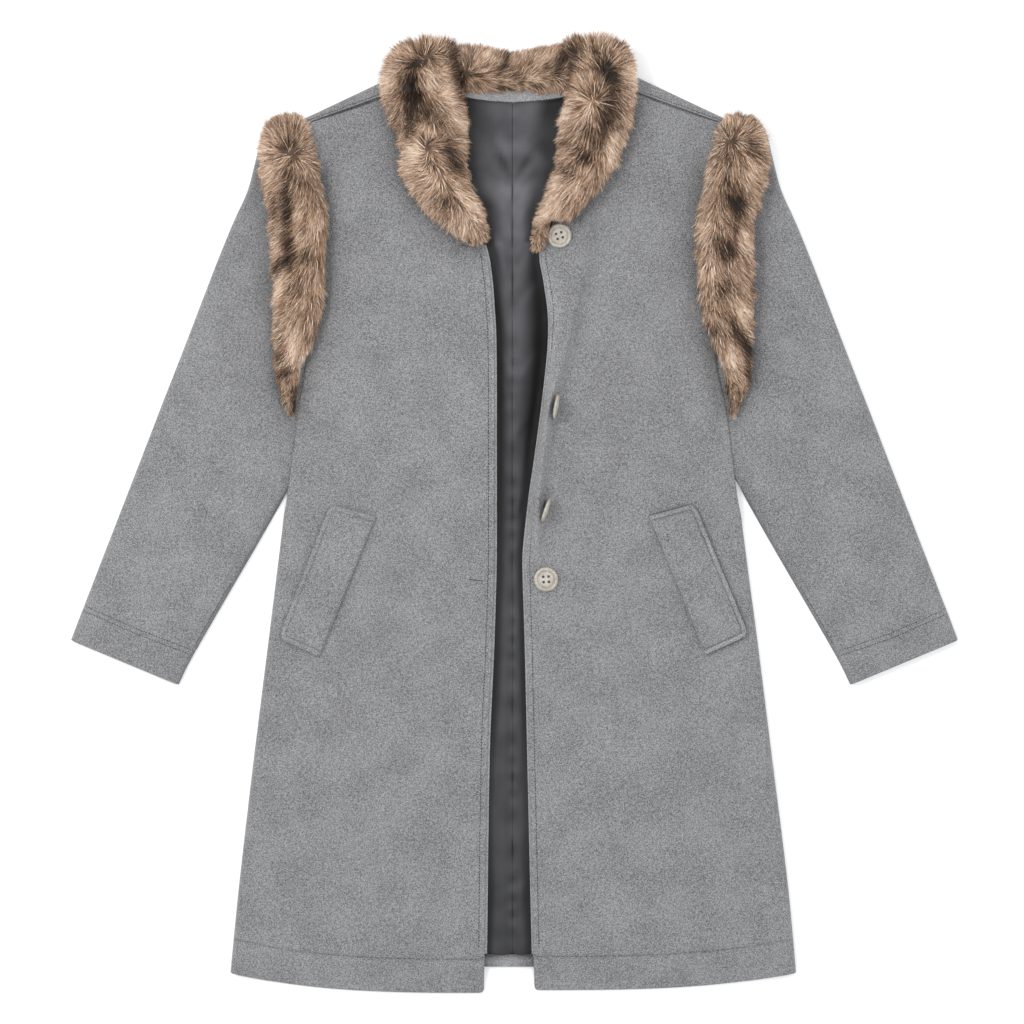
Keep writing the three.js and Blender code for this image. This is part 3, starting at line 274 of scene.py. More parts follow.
# Creases: a stroke from one place to another, how wide it is and how far it rises.
STROKE_COLUMNS = "x0 y0 x1 y1 width rise"
CREASES = {
    "front_right": table(STROKE_COLUMNS, [
        (-60, 285, -37, 195, 9, -1.7), (-73, 312, -69, 240, 7, 1.1),
        (-45, 150, -47, 20, 22, 0.8), (-120, 250, -150, 120, 34, -0.9),
        (-196, 190, -170, 60, 26, 1.2), (-95, 60, -120, -110, 30, -0.8),
        (-240, -175, -268, -330, 16, 1.3), (-205, -185, -215, -330, 22, -1.4),
        (-170, -245, -225, -215, 15, 0.9), (-60, -210, -85, -400, 26, 0.9),
        (-130, -300, -110, -470, 24, -1.1), (-175, -380, -195, -500, 26, 1.0),
        (-255, -400, -262, -500, 18, -1.0), (-150, 330, -130, 420, 26, 0.9),
        (-134, 440, -127, 390, 8, -1.7), (-122, 378, -100, 335, 8, -1.7),
        (-92, 328, -62, 300, 7, -1.3), (-208, 390, -201, 320, 8, -1.7),
        (-202, 300, -212, 195, 8, -1.7)]),
    "front_left": table(STROKE_COLUMNS, [
        (187, 150, 189, 60, 15, -1.9), (192, 62, 186, 52, 6, 1.3),
        (100, 300, 72, 130, 15, -1.5), (72, 130, 48, -30, 13, -1.3),
        (120, 250, 135, 90, 30, 0.9), (215, 170, 222, 40, 14, 1.2),
        (60, -110, 80, -260, 24, 0.9), (110, -190, 150, -240, 14, -0.9),
        (140, -150, 175, -215, 12, 0.9), (190, -185, 235, -300, 20, -1.3),
        (245, -170, 275, -340, 15, 1.2), (120, -290, 100, -460, 28, -0.9),
        (175, -330, 190, -490, 26, 1.0), (250, -390, 262, -495, 18, -1.0),
        (150, 330, 130, 420, 24, 0.8), (131, 440, 116, 390, 8, -1.7),
        (112, 378, 88, 342, 8, -1.7), (80, 334, 56, 318, 7, -1.2), (205, 390, 196, 320, 8, -1.7),
        (193, 300, 205, 190, 8, -1.7)]),
    "sleeve_right": table(STROKE_COLUMNS, [
        (-290, 372, -276, 340, 8, -2.0), (-273, 325, -273, 225, 8, -2.2),
        (-262, 250, -300, 205, 16, -1.2), (-268, 175, -335, 140, 15, 1.1),
        (-262, 130, -345, 92, 17, -1.2), (-285, 60, -380, 60, 18, 1.0),
        (-300, 20, -395, 5, 16, -1.0), (-345, -30, -425, -60, 20, 0.9),
        (-355, -95, -440, -95, 18, -0.9)]),
    "sleeve_left": table(STROKE_COLUMNS, [
        (288, 372, 272, 340, 8, -2.0), (268, 325, 266, 225, 8, -2.2),
        (262, 285, 300, 235, 15, -1.2), (266, 200, 330, 175, 14, 1.1),
        (262, 150, 345, 105, 17, -1.2), (290, 75, 385, 45, 18, 1.0),
        (310, -5, 405, -20, 16, -1.0), (340, -60, 430, -50, 20, 0.9),
        (370, -110, 452, -100, 16, -0.9)]),
    "lining": table(STROKE_COLUMNS, [
        (-2, 352, -34, 402, 7, 1.9), (-2, 352, 30, 398, 7, 1.8), (-2, 300, -22, 368, 8, 1.4),
        (-2, 304, 24, 366, 7, 1.5), (-30, 440, -12, 410, 9, 1.3), (28, 436, 12, 412, 8, 1.5),
        (-2, 250, -20, 300, 8, 1.4), (-2, 240, 22, 285, 9, 1.4), (-2, 205, -16, 222, 6, 1.2),
        (-2, 160, 16, 190, 8, 1.3), (-2, 120, -14, 150, 7, 1.1), (-2, 80, 10, 100, 7, 1.0),
        (-2, 40, -12, 58, 7, 1.1), (-2, -10, 6, 20, 7, 1.0), (-2, -70, -14, -50, 8, 1.0),
        (-2, -150, 8, -120, 8, 1.0), (-2, -220, -16, -190, 8, 1.0), (-2, -300, 8, -280, 8, 0.9),
        (-2, -380, -16, -350, 8, 1.0), (-2, -440, 10, -420, 8, 0.9)]),
}

# How pale the satin is painted, as painted shadow and painted light: at the fronts' edges and at the
# seam, with the dark band's width at each front's edge and the way from there to the seam's tone.
SATIN_PAINTED_LIGHT = table("y seam edge dark_right reach_right dark_left reach_left", [
    (-486, 0.8, 0.3, 0, 6, 0, 8), (-425, 0.8, 0.25, 0, 8, 0, 9), (-315, 0.85, 0.5, 0, 4, 0, 6),
    (-200, 0.9, 0.2, 0, 10, 0, 7), (-95, 0.9, 0.25, 0, 8, 0, 6), (15, 0.8, 0.1, 0, 12, 0, 10),
    (120, 1.1, 0.02, 1, 13, 7, 22), (213, 1.3, 0.02, 1, 13, 9, 22), (257, 1.3, 0.12, 0, 12, 6, 22),
    (301, 1.7, 0.4, 2, 16, 0, 12), (334, 2.0, 0.5, 2, 24, 2, 18), (356, 2.4, 0.8, 4, 30, 4, 24),
    (372, 1.6, 0.3, 0, 26, 0, 24), (387, 1.3, 0.4, 2, 20, 4, 18), (405, 1.75, 0.45, 2, 34, 14, 22),
    (422, 1.2, 0.5, 2, 40, 10, 24), (440, 1.6, 0.25, 2, 42, 14, 22)])
# Painted highlights and painted shade along the satin's folds: strokes as for the creases.
SATIN_FOLD_PAINTED_LIGHT = table(STROKE_COLUMNS, [
    (-26, 412, -5, 373, 4.5, -0.7), (20, 400, 2, 371, 4.5, -0.7), (-38, 380, -9, 363, 6, -0.4),
    (32, 378, 8, 363, 6, -0.4), (-10, 402, -5, 388, 5, 0.5), (-40, 352, -16, 330, 6, -0.4),
    (-26, 310, -8, 286, 5, 0.5), (14, 300, 4, 276, 4, -0.4), (20, 250, 5, 226, 5, 0.4),
    (-16, 180, -5, 160, 4, 0.3), (18, 175, 5, 150, 5, 0.4), (10, 98, 2, 82, 4, -0.3),
    (-24, -40, -6, -52, 6, 0.2), (16, -180, 2, -196, 6, 0.2), (-22, -300, -4, -318, 7, 0.2),
    (12, -404, -16, -420, 6, 0.3), (20, -398, 4, -412, 5, 0.25)])

# ---- Mathematics of the cloth --------------------------------------------------------------------


def soft(t):
    """0 to 1 with soft ends."""
    s = np.clip(t, 0, 1)
    return s * s * (3 - 2 * s)


def mix(a, b, t):
    return a + (b - a) * t


def smooth_curve(places, values, at):
    """Values on a smooth curve through a table's rows."""
    slopes = np.gradient(values)
    slopes[1:-1] = (values[2:] - values[:-2]) / (places[2:] - places[:-2])
    slopes[0] = (values[1] - values[0]) / (places[1] - places[0])
    slopes[-1] = (values[-1] - values[-2]) / (places[-1] - places[-2])
    at = np.asarray(at, float)
    i = np.clip(np.searchsorted(places, at) - 1, 0, len(places) - 2)
    span = places[i + 1] - places[i]
    t = np.clip((at - places[i]) / span, 0, 1)
    t2, t3 = t * t, t * t * t
    return (values[i] * (2 * t3 - 3 * t2 + 1) + slopes[i] * span * (t3 - 2 * t2 + t)
            + values[i + 1] * (3 * t2 - 2 * t3) + slopes[i + 1] * span * (t3 - t2))


def curve(rows, name, y):
    return smooth_curve(rows["y"], rows[name], y)


def between(rows, place):
    """All columns of a table at places between its rows."""
    index = np.arange(len(next(iter(rows.values()))), dtype=float)
    return {name: smooth_curve(index, values, place) for name, values in rows.items()}


def line_of(distance, width):
    """1 on a line, fading over the width beside it."""
    return np.exp(-(distance / width) ** 2)


def along_edge(distance, lines):
    """Sum of lines beside an edge, each given by its distance from it, strength and width."""
    return sum(most * line_of(distance - place, width) for place, most, width in lines)


def to_segment(x, y, x0, y0, x1, y1):
    """How far along a straight segment the places x, y lie, and how far from it."""
    along_x, along_y = x1 - x0, y1 - y0
    t = np.clip(((x - x0) * along_x + (y - y0) * along_y) / (along_x**2 + along_y**2), 0, 1)
    return t, np.hypot(x - x0 - t * along_x, y - y0 - t * along_y)


STROKE_END = 0.35              # part of a stroke's rise that is left at its ends
STROKE_RUN = (0.08, 0.92)


def strokes(rows, x, y):
    """Sum of soft strokes at the places x, y."""
    total = np.zeros(np.broadcast(x, y).shape)
    for x0, y0, x1, y1, width, rise in zip(*(rows[name] for name in STROKE_COLUMNS.split())):
        t, far = to_segment(x, y, x0, y0, x1, y1)
        fade = mix(STROKE_END, 1, np.sin(np.pi * np.clip(t, *STROKE_RUN)))
        total += rise * fade * line_of(far, width)
    return total


def ripple(x, y, length, seed):
    """Slow unevenness of laid cloth, between about -1 and 1: seven waves with bent crests."""
    total = 0
    random = np.random.default_rng(seed)
    for _ in range(7):
        turn = random.uniform(0, math.tau)
        step = math.tau / (length * random.uniform(0.7, 1.6))
        wave = step * (x * math.cos(turn) + y * math.sin(turn)) + random.uniform(0, math.tau)
        total = total + np.sin(wave + 0.6 * np.sin(0.43 * step * (x - y)))
    return total / 3.2


def ripples(x, y, *waves):
    """Sum of ripples, each given by its rise, length and seed."""
    return sum(rise * ripple(x, y, length, seed) for rise, length, seed in waves)


# ---- Meshes --------------------------------------------------------------------------------------


def make_object(name, vertices, faces, material, attributes=None):
    """A smoothly shaded mesh of millimetre points with its own values for the materials."""
    mesh = bpy.data.meshes.new(name)
    mesh.from_pydata((np.asarray(vertices, float) * MM).tolist(), [], faces)
    for label, values in (attributes or {}).items():
        values = np.asarray(values, float)
        kind = "FLOAT" if values.ndim == 1 else "FLOAT_VECTOR"
        data = mesh.attributes.new(label, kind, "POINT").data
        data.foreach_set("value" if values.ndim == 1 else "vector", values.ravel())
    if faces:
        mesh.shade_smooth()
    mesh.materials.append(material)
    made = bpy.data.objects.new(name, mesh)
    bpy.context.collection.objects.link(made)
    return made


def dress(piece, nodes):
    """The piece rides on the coat and stands for the nodes, which it hides."""
    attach(piece, "root")
    if nodes:
        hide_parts(*nodes)
    return piece


def grid_faces(rows, columns):
    i, j = np.meshgrid(np.arange(rows - 1), np.arange(columns - 1), indexing="ij")
    a = (i * columns + j).ravel()
    return np.stack([a, a + 1, a + columns + 1, a + columns], axis=1)


EDGE_ROUNDING = 0.18           # part of the wall that its cut edges are rounded over


def rim_of(rows, columns):
    """Indices of a grid's border, once round."""
    return np.concatenate([
        np.arange(columns - 1), columns * np.arange(rows - 1) + columns - 1,
        (rows - 1) * columns + np.arange(columns - 1, 0, -1), columns * np.arange(rows - 1, 0, -1)])


def wall_values(values, aside=1.0):
    """A grid's values for the vertices of the wall around it, weaker on its side and underside."""
    flat = values.ravel()
    return np.concatenate([flat, aside * flat, aside * flat[rim_of(*values.shape)]])


# Painted shadow of the fur on the wool: its darkest, how far it reaches, and the fur's first row that
# casts it.
FUR_PAINTED_SHADOW = {"most": 0.42, "reach": 10, "first_row": 3}


def painted_fur_shadow(fur, edge, points):
    """Painted shadow that one edge of a fur casts on the wool beside it, at the points."""
    rows = FUR[fur]
    path = np.stack([rows[f"{edge}_x"], rows[f"{edge}_y"]], axis=1)[FUR_PAINTED_SHADOW["first_row"]:]
    x, y = points[..., 0], points[..., 1]
    nearest = np.full(x.shape, np.inf)
    for start, end in zip(path[:-1], path[1:]):
        nearest = np.minimum(nearest, to_segment(x, y, *start, *end)[1])
    return FUR_PAINTED_SHADOW["most"] * np.exp(-nearest / FUR_PAINTED_SHADOW["reach"])


def wall(points, thickness):
    """Vertices and faces of a closed wall of cloth around a grid of middle points."""
    rows, columns = points.shape[:2]
    along = np.gradient(points, axis=0)
    aside = np.gradient(points, axis=1)
    normal = np.cross(aside, along)
    normal /= np.maximum(np.linalg.norm(normal, axis=2, keepdims=True), 1e-9)
    thickness = np.broadcast_to(thickness, (rows, columns))[..., None]
    pull = np.zeros_like(points)
    pull[0] += unit(points[1] - points[0])
    pull[-1] += unit(points[-2] - points[-1])
    pull[:, 0] += unit(points[:, 1] - points[:, 0])
    pull[:, -1] += unit(points[:, -2] - points[:, -1])
    inset = points + pull * thickness * EDGE_ROUNDING
    upper = inset + normal * thickness / 2
    lower = inset - normal * thickness / 2
    rim = rim_of(rows, columns)
    count = rows * columns
    vertices = np.concatenate([upper.reshape(-1, 3), lower.reshape(-1, 3),
                               points.reshape(-1, 3)[rim]])
    vertices[:, 2] = np.maximum(vertices[:, 2], LEAST_HEIGHT)
    top = grid_faces(rows, columns)
    low = (top + count)[:, ::-1]
    middle = 2 * count + np.arange(len(rim))
    step, middle_step = np.roll(rim, -1), np.roll(middle, -1)
    sides = np.concatenate([np.stack([rim, middle, middle_step, step], axis=1),
                            np.stack([middle, rim + count, step + count, middle_step], axis=1)])
    return vertices, turned_out(vertices, np.concatenate([top, low, sides]).tolist())


def unit(vectors):
    return vectors / np.maximum(np.linalg.norm(vectors, axis=-1, keepdims=True), 1e-9)


def tube_faces(rings, segments):
    """Faces between rings of points, each ring closed."""
    faces = []
    for ring in range(rings - 1):
        for k in range(segments):
            a, b = ring * segments + k, ring * segments + (k + 1) % segments
            faces.append((a, b, b + segments, a + segments))
    return faces


def turned_out(vertices, faces):
    """The faces of a closed shape, turned round where they point inwards."""
    corners = np.array([(face[0], face[k], face[k + 1])
                        for face in faces for k in range(1, len(face) - 1)])
    a, b, c = (vertices[corners[:, k]] for k in range(3))
    inward = np.sum(a * np.cross(b, c)) < 0
    return [face[::-1] for face in faces] if inward else faces


# ---- Shapes of the fronts ------------------------------------------------------------------------

FOLD_ANGLES = np.radians(np.linspace(0, 90, 7))
STEEP_STEPS = np.linspace(1, 0, 12)
GENTLE_STEPS = np.linspace(1, 0, 13)[1:]
FLAT_STEPS = np.linspace(0, 1, 56)[1:]
PLAIN_STEPS = np.append(np.linspace(0, 0.994, 69)[1:], 1)     # the last one rounds the edge
CREASE_FADE = {"inner": 14, "outer": 16, "low_y": -500, "low": 40}
SWELL = {"rise": 3.4, "inset": 24, "width": 26, "y": 118, "length": 85}    # below the armhole
HEM_GROOVE = {"depth": 0.35, "width": 1.6}
FRONT_WAVE_SEED = 3


def ridge_height(across, y):
    """Rise of the fold beside the left front edge: round up to its crest, then falling off."""
    edge = curve(FRONT_EDGE, "left", y) + BAND["left"]
    crest = curve(RIDGE, "crest", y)
    rise = np.maximum(0, curve(RIDGE, "rise", y))
    before = np.clip((crest - across) / (crest - edge), 0, 1)
    beyond = np.clip((across - crest) / curve(RIDGE, "foot", y), 0, 1)
    return rise * np.where(across < crest, (1 + np.cos(np.pi * before)) / 2, (1 - beyond) ** 2)


def dip_depth(across, y):
    """How far the cloth is pressed down below the standing buttons."""
    depth = 0
    for button in BUTTONS:
        if "lean" in button:
            foot = curve(RIDGE, "crest", button["y"]) + curve(RIDGE, "foot", button["y"])
            foot = foot + DIP["beyond"]
            far_x = (across - foot) / DIP["across"]
            far_y = (y - button["y"]) / DIP["along"]
            depth = np.maximum(depth, DIP["depth"] * np.exp(-far_x**2 - far_y**2))
    return depth


def front_underside(side, across, y):
    edge = curve(FRONT_EDGE, side, y) + BAND[side]
    height = UNDERSIDE + EDGE_LIFT * (1 - soft((across - edge) / EDGE_LIFT_WIDTH))
    if side == "left":
        height = height + ridge_height(across, y) - dip_depth(across, y)
    return mix(height, HEM_REST, soft((HEM_FALL_FROM - y) / HEM_FALL))


def front_crease(side, across, y):
    """Creases and unevenness of a front, dying out at its edges."""
    edge = curve(FRONT_EDGE, side, y) + BAND[side]
    outer = curve(SIDE_EDGE, side, y)
    shown = (soft((across - edge - 1) / CREASE_FADE["inner"])
             * soft((outer - across) / CREASE_FADE["outer"]))
    low = soft((y - CREASE_FADE["low_y"]) / CREASE_FADE["low"])
    creases = strokes(CREASES[f"front_{side}"], SIGN[side] * across, y)
    uneven = ripples(across, y, (0.45, 95, FRONT_WAVE_SEED + SIGN[side]), (0.16, 34, 9))
    swell = (SWELL["rise"] * line_of(outer - across - SWELL["inset"], SWELL["width"])
             * line_of(y - SWELL["y"], SWELL["length"]))
    return (creases + uneven + swell) * shown * low - hem_groove(side, across, y)


def hem_groove(side, across, y):
    """Shallow groove that the hem's stitches pull into the cloth."""
    line = hem_y(side, across) + HEM_DEPTH
    return HEM_GROOVE["depth"] * line_of(y - line, HEM_GROOVE["width"])


def front_top(side, across, y):
    return front_underside(side, across, y) + WOOL + front_crease(side, across, y)


def hem_y(side, across):
    inner = curve(FRONT_EDGE, side, HEM_SIDE_Y) + BAND[side]
    outer = curve(SIDE_EDGE, side, HEM_SIDE_Y)
    t = np.clip((across - inner) / (outer - inner), 0, 1)
    corner = CORNER - np.minimum(CORNER, np.maximum(0, across - inner))
    rounding = CORNER - np.sqrt(np.maximum(0, CORNER**2 - corner**2))
    return HEM_SIDE_Y - HEM_BOW[side] * (1 - t**3) + rounding


def front_columns(side, y):
    """Distances from the middle line of a front's columns, side fold to front edge."""
    y = np.atleast_1d(y)[:, None]
    outer = curve(SIDE_EDGE, side, y)
    inner = curve(FRONT_EDGE, side, y) + BAND[side]
    fold = outer - WOOL / 2 - ROLL * (1 - np.cos(FOLD_ANGLES))
    start = fold[:, -1:]
    if side == "right":
        return np.hstack([fold, mix(start, inner, PLAIN_STEPS)])
    crest = curve(RIDGE, "crest", y)
    foot = curve(RIDGE, "foot", y)
    flat = mix(start, crest + foot + RIDGE_MARGIN, FLAT_STEPS)
    return np.hstack([fold, flat, crest + foot * STEEP_STEPS, mix(inner, crest, GENTLE_STEPS)])


HEM_ROWS = np.array([0, 1.2, 3, 6, 10, 14, 18, 22, 26, 30, 33.5, 36, 38, 40, 43])
BODY_ROWS = np.linspace(-459, 468, 205)
# Painted shade along the seam above the hem and a painted highlight along the front's upper edge, in the
# wool's colour.
HEM_SEAM_PAINTED_SHADE = {"most": 0.22, "width": 1.3}
EDGE_PAINTED_HIGHLIGHT = {"most": 0.22, "right": 2.2, "left": 11, "low_y": 40, "low": 80, "high_y": 310,
              "high": 30}


def front_piece(side, material):
    first, last = HEM_SIDE_Y + HEM_ROWS[-1], BODY_ROWS[-1]
    at_hem = front_columns(side, HEM_SIDE_Y)[0]
    at_top = front_columns(side, last)[0]
    low = hem_y(side, at_hem)
    top = SHOULDER_SEAM["start_y"] + SHOULDER_SEAM["slope"] * (SHOULDER_SEAM["start"] - at_top)
    t = ((BODY_ROWS - first) / (last - first))[:, None]
    body = (BODY_ROWS[:, None] + (low + HEM_ROWS[-1] - first) * (1 - t) ** 6
            + (top + SEAM - last) * t**3)
    y = np.vstack([low + HEM_ROWS[:, None], body])
    across = np.stack([front_columns(side, y[:, j])[:, j] for j in range(y.shape[1])], axis=1)
    folded = np.arange(y.shape[1]) < len(FOLD_ANGLES)
    doubled = (y < low + HEM_DEPTH) & ~folded
    thickness = np.where(doubled, HEM_WOOL, WOOL)
    z = front_underside(side, across, y) + thickness / 2 + front_crease(side, across, y)
    for j, angle in enumerate(FOLD_ANGLES):
        edge = curve(SIDE_EDGE, side, y[:, j]) - WOOL / 2 - ROLL
        full = (front_underside(side, edge, y[:, j]) + WOOL / 2
                + front_crease(side, edge, y[:, j]))
        lowest = np.minimum(full, curve(FOLD_LOW, "low", y[:, j]))
        z[:, j] = mix(lowest, full, math.sin(angle))
    points = np.stack([SIGN[side] * across, y, z], axis=2)
    # Painted shade at the hem's seam, a painted highlight along the front's edge and painted shadow
    # beside the fur.
    pressed = HEM_SEAM_PAINTED_SHADE["most"] * line_of(y - low - HEM_DEPTH, HEM_SEAM_PAINTED_SHADE["width"])
    inside = across - curve(FRONT_EDGE, side, y) - BAND[side]
    upper = (soft((y - EDGE_PAINTED_HIGHLIGHT["low_y"]) / EDGE_PAINTED_HIGHLIGHT["low"])
             * soft((EDGE_PAINTED_HIGHLIGHT["high_y"] - y) / EDGE_PAINTED_HIGHLIGHT["high"]))
    pressed -= EDGE_PAINTED_HIGHLIGHT["most"] * line_of(inside, EDGE_PAINTED_HIGHLIGHT[side]) * upper
    pressed += painted_fur_shadow(f"collar_{side}", "out", points)
    pressed += painted_fur_shadow(f"trim_{side}", "in", points)
    return make_object(f"wool_front_{side}", *wall(points, thickness), material,
                       {"pressed": wall_values(pressed)})


# ---- Shapes of the sleeves -----------------------------------------------------------------------


def sleeve_middle(side, across, y):
    outside = across - curve(SIDE_EDGE, side, y)
    near = 1 - soft(outside / SLEEVE_DIVE["width"])
    upper_end = 1 - soft((y - SLEEVE_DIVE["high_y"]) / SLEEVE_DIVE["high_fade"])
    lower_end = soft((y - SLEEVE_DIVE["low_y"]) / SLEEVE_DIVE["low_fade"])
    return UNDERSIDE + WOOL / 2 - SLEEVE_DIVE["depth"] * near * upper_end * lower_end


def sleeve_crease(side, across, y, covered):
    uneven = ripples(across, y, (0.4, 80, 21), (0.15, 30, 5))
    return (strokes(CREASES[f"sleeve_{side}"], SIGN[side] * across, y) + uneven) * covered


# A sleeve's cross-sections, as places between the rows of its table.
HEAD_PLACES = np.array([0, 0.03, 0.06, 0.12, 0.2, 0.3, 0.4])
HEAD_ANGLES = np.radians([0, 15, 30, 45, 60, 75, 90])
SLEEVE_STEP = 0.125
FIRST_BODY_PLACE = 0.55
FOLD_TO_FOLD = np.linspace(0, 1, 34)[1:-1]
# Grooves beside the cuff's seam: its distance from the seam, depth and width.
CUFF_GROOVES = [(1, 0.35, 1.5), (7, 0.3, 1.3)]
# Painted shade of the wool along the inner edge, where it rolls under, and a painted highlight beside it:
# distance from it, strength and width.
SLEEVE_EDGE_PAINTED_SHADING = [(0, 0.35, 2.2), (5, -0.15, 2)]
# Painted shade along the inner edge towards the elbow.
ELBOW_PAINTED_SHADE = {"most": 0.3, "width": 10, "from_row": 9, "half_from_row": 11, "half_over": 3}
BODY_CLEAR = {"gap": 2, "over": 18, "below_y": -20}     # where no front lies on the sleeve
SLEEVE_CREASE = {"from": 6, "over": 16}                 # from a folded edge inwards
FLAT_ANGLE = 1.5               # columns past this angle of the folds lie flat


def sleeve_places():
    """Where a sleeve's cross-sections lie, where its hem begins and how long a row is there."""
    last = len(SLEEVE["out_x"]) - 1
    cuff = between(SLEEVE, np.array([last, last - 2]))
    span = math.hypot(cuff["out_x"][0] - cuff["out_x"][1], cuff["out_y"][0] - cuff["out_y"][1]) / 2
    hem = last - CUFF_DEPTH / span
    body = np.arange(FIRST_BODY_PLACE, hem, SLEEVE_STEP)
    at_seam = [hem - 0.03, hem, hem + 0.03]
    cuff = np.linspace(hem + 0.12, last, 12)
    return np.concatenate([HEAD_PLACES, body[body < hem - 0.06], at_seam, cuff]), hem, span


def sleeve_upper(side, material):
    places, hem_place, span = sleeve_places()
    heads = np.full(len(places), math.pi / 2)
    heads[:len(HEAD_ANGLES)] = HEAD_ANGLES
    rows = between(SLEEVE, places)
    out = np.stack([rows["out_x"], rows["out_y"]], axis=1)
    inward = np.stack([rows["in_x"], rows["in_y"]], axis=1) - out
    width = np.linalg.norm(inward, axis=1)
    inward /= width[:, None]
    free = soft((places - FREE_ROW + 0.3) / 0.6)[:, None]
    insets = WOOL / 2 + ROLL * (1 - np.cos(FOLD_ANGLES))
    spots = np.hstack([np.broadcast_to(insets, (len(places), len(insets))),
                       insets[-1] + (width[:, None] - 2 * insets[-1]) * FOLD_TO_FOLD,
                       width[:, None] - insets[::-1]])
    upright = np.full(len(FOLD_TO_FOLD), math.pi / 2)
    angles = np.concatenate([FOLD_ANGLES, upright, FOLD_ANGLES[::-1]])
    inner = np.arange(len(angles)) >= len(FOLD_ANGLES) + len(FOLD_TO_FOLD)
    across = out[:, 0:1] + inward[:, 0:1] * spots
    y = out[:, 1:2] + inward[:, 1:2] * spots
    full = sleeve_middle(side, across, y)
    low = np.where(inner, mix(full, ROLL_LOW, free), ROLL_LOW)
    z = mix(ROLL_LOW, mix(low, full, np.sin(angles)), np.sin(heads)[:, None])

    inside = np.minimum(spots, width[:, None] - spots)
    flat = (angles > FLAT_ANGLE) & (inside > insets[-1] + 2)
    beside = across - curve(SIDE_EDGE, side, y) - BODY_CLEAR["gap"]
    clear = np.clip(soft(beside / BODY_CLEAR["over"]) + (y < BODY_CLEAR["below_y"]), 0, 1)
    creased = soft((inside - SLEEVE_CREASE["from"]) / SLEEVE_CREASE["over"])
    z = z + sleeve_crease(side, across, y, flat * creased * clear)
    from_seam = ((places - hem_place) * span)[:, None]
    groove = along_edge(from_seam, CUFF_GROOVES)
    doubled = (places >= hem_place)[:, None] & (angles > FLAT_ANGLE) & ~inner
    thickness = np.where(doubled, HEM_WOOL, WOOL)
    z = z + (thickness - WOOL) / 2 - groove * flat
    points = np.stack([SIGN[side] * across, y, z], axis=2)

    # The wool's colour takes painted shade along the rolled inner edge and painted shadow beside the
    # trim.
    inner_gap = width[:, None] - spots
    half = soft((places - ELBOW_PAINTED_SHADE["half_from_row"]) / ELBOW_PAINTED_SHADE["half_over"])
    elbow = (soft(places - ELBOW_PAINTED_SHADE["from_row"]) * (1 - 0.5 * half))[:, None]
    pressed = free * along_edge(inner_gap, SLEEVE_EDGE_PAINTED_SHADING)
    pressed = pressed + ELBOW_PAINTED_SHADE["most"] * line_of(inner_gap, ELBOW_PAINTED_SHADE["width"]) * elbow
    pressed = pressed + painted_fur_shadow(f"trim_{side}", "out", points)
    return make_object(f"wool_sleeve_upper_{side}", *wall(points, thickness), material,
                       {"pressed": wall_values(pressed)})


# ---- Lining and facings --------------------------------------------------------------------------


def neck_facing_y(x):
    bow = NECK_FACING["bow"] * (x / NECK_FACING["bow_across"]) ** 2
    return NECK_FACING["y"] + np.minimum(bow, NECK_FACING["most_bow"])


LINING_PARTS = np.concatenate([np.linspace(0, 0.9, 19), [0.935, 0.965, 0.985, 1]])
LINING_ROWS = 200
LINING_SWELL = {"rise": 2.4, "seam": 13, "edge": 15}    # between the seam and the front
SEAM_SINK = {"least": 0.25, "over": 1.6}                # how the seam holds the satin down
PUCKER = {"rise": 0.35, "length": 5.3, "bend": 2, "bend_length": 31, "reach": 7}
# Painted highlights and painted shade of the same puckers, in the satin's colour.
PUCKER_PAINTED_LIGHT = {"rise": 0.3, "length": 4.1, "bend": 2.5, "bend_length": 23, "reach": 5}
LINING_CREASE = 1.9            # how much deeper than in its table the creases are
COLLAR_SHADE_FROM_Y = 300      # above it the collar, not the front, shades the satin


def puckers(sizes, y, gap):
    """Small waves along the seam, dying out beside it."""
    bend = sizes["bend"] * np.sin(y / sizes["bend_length"])
    return sizes["rise"] * np.sin(y / sizes["length"] + bend) * np.exp(-gap / sizes["reach"])


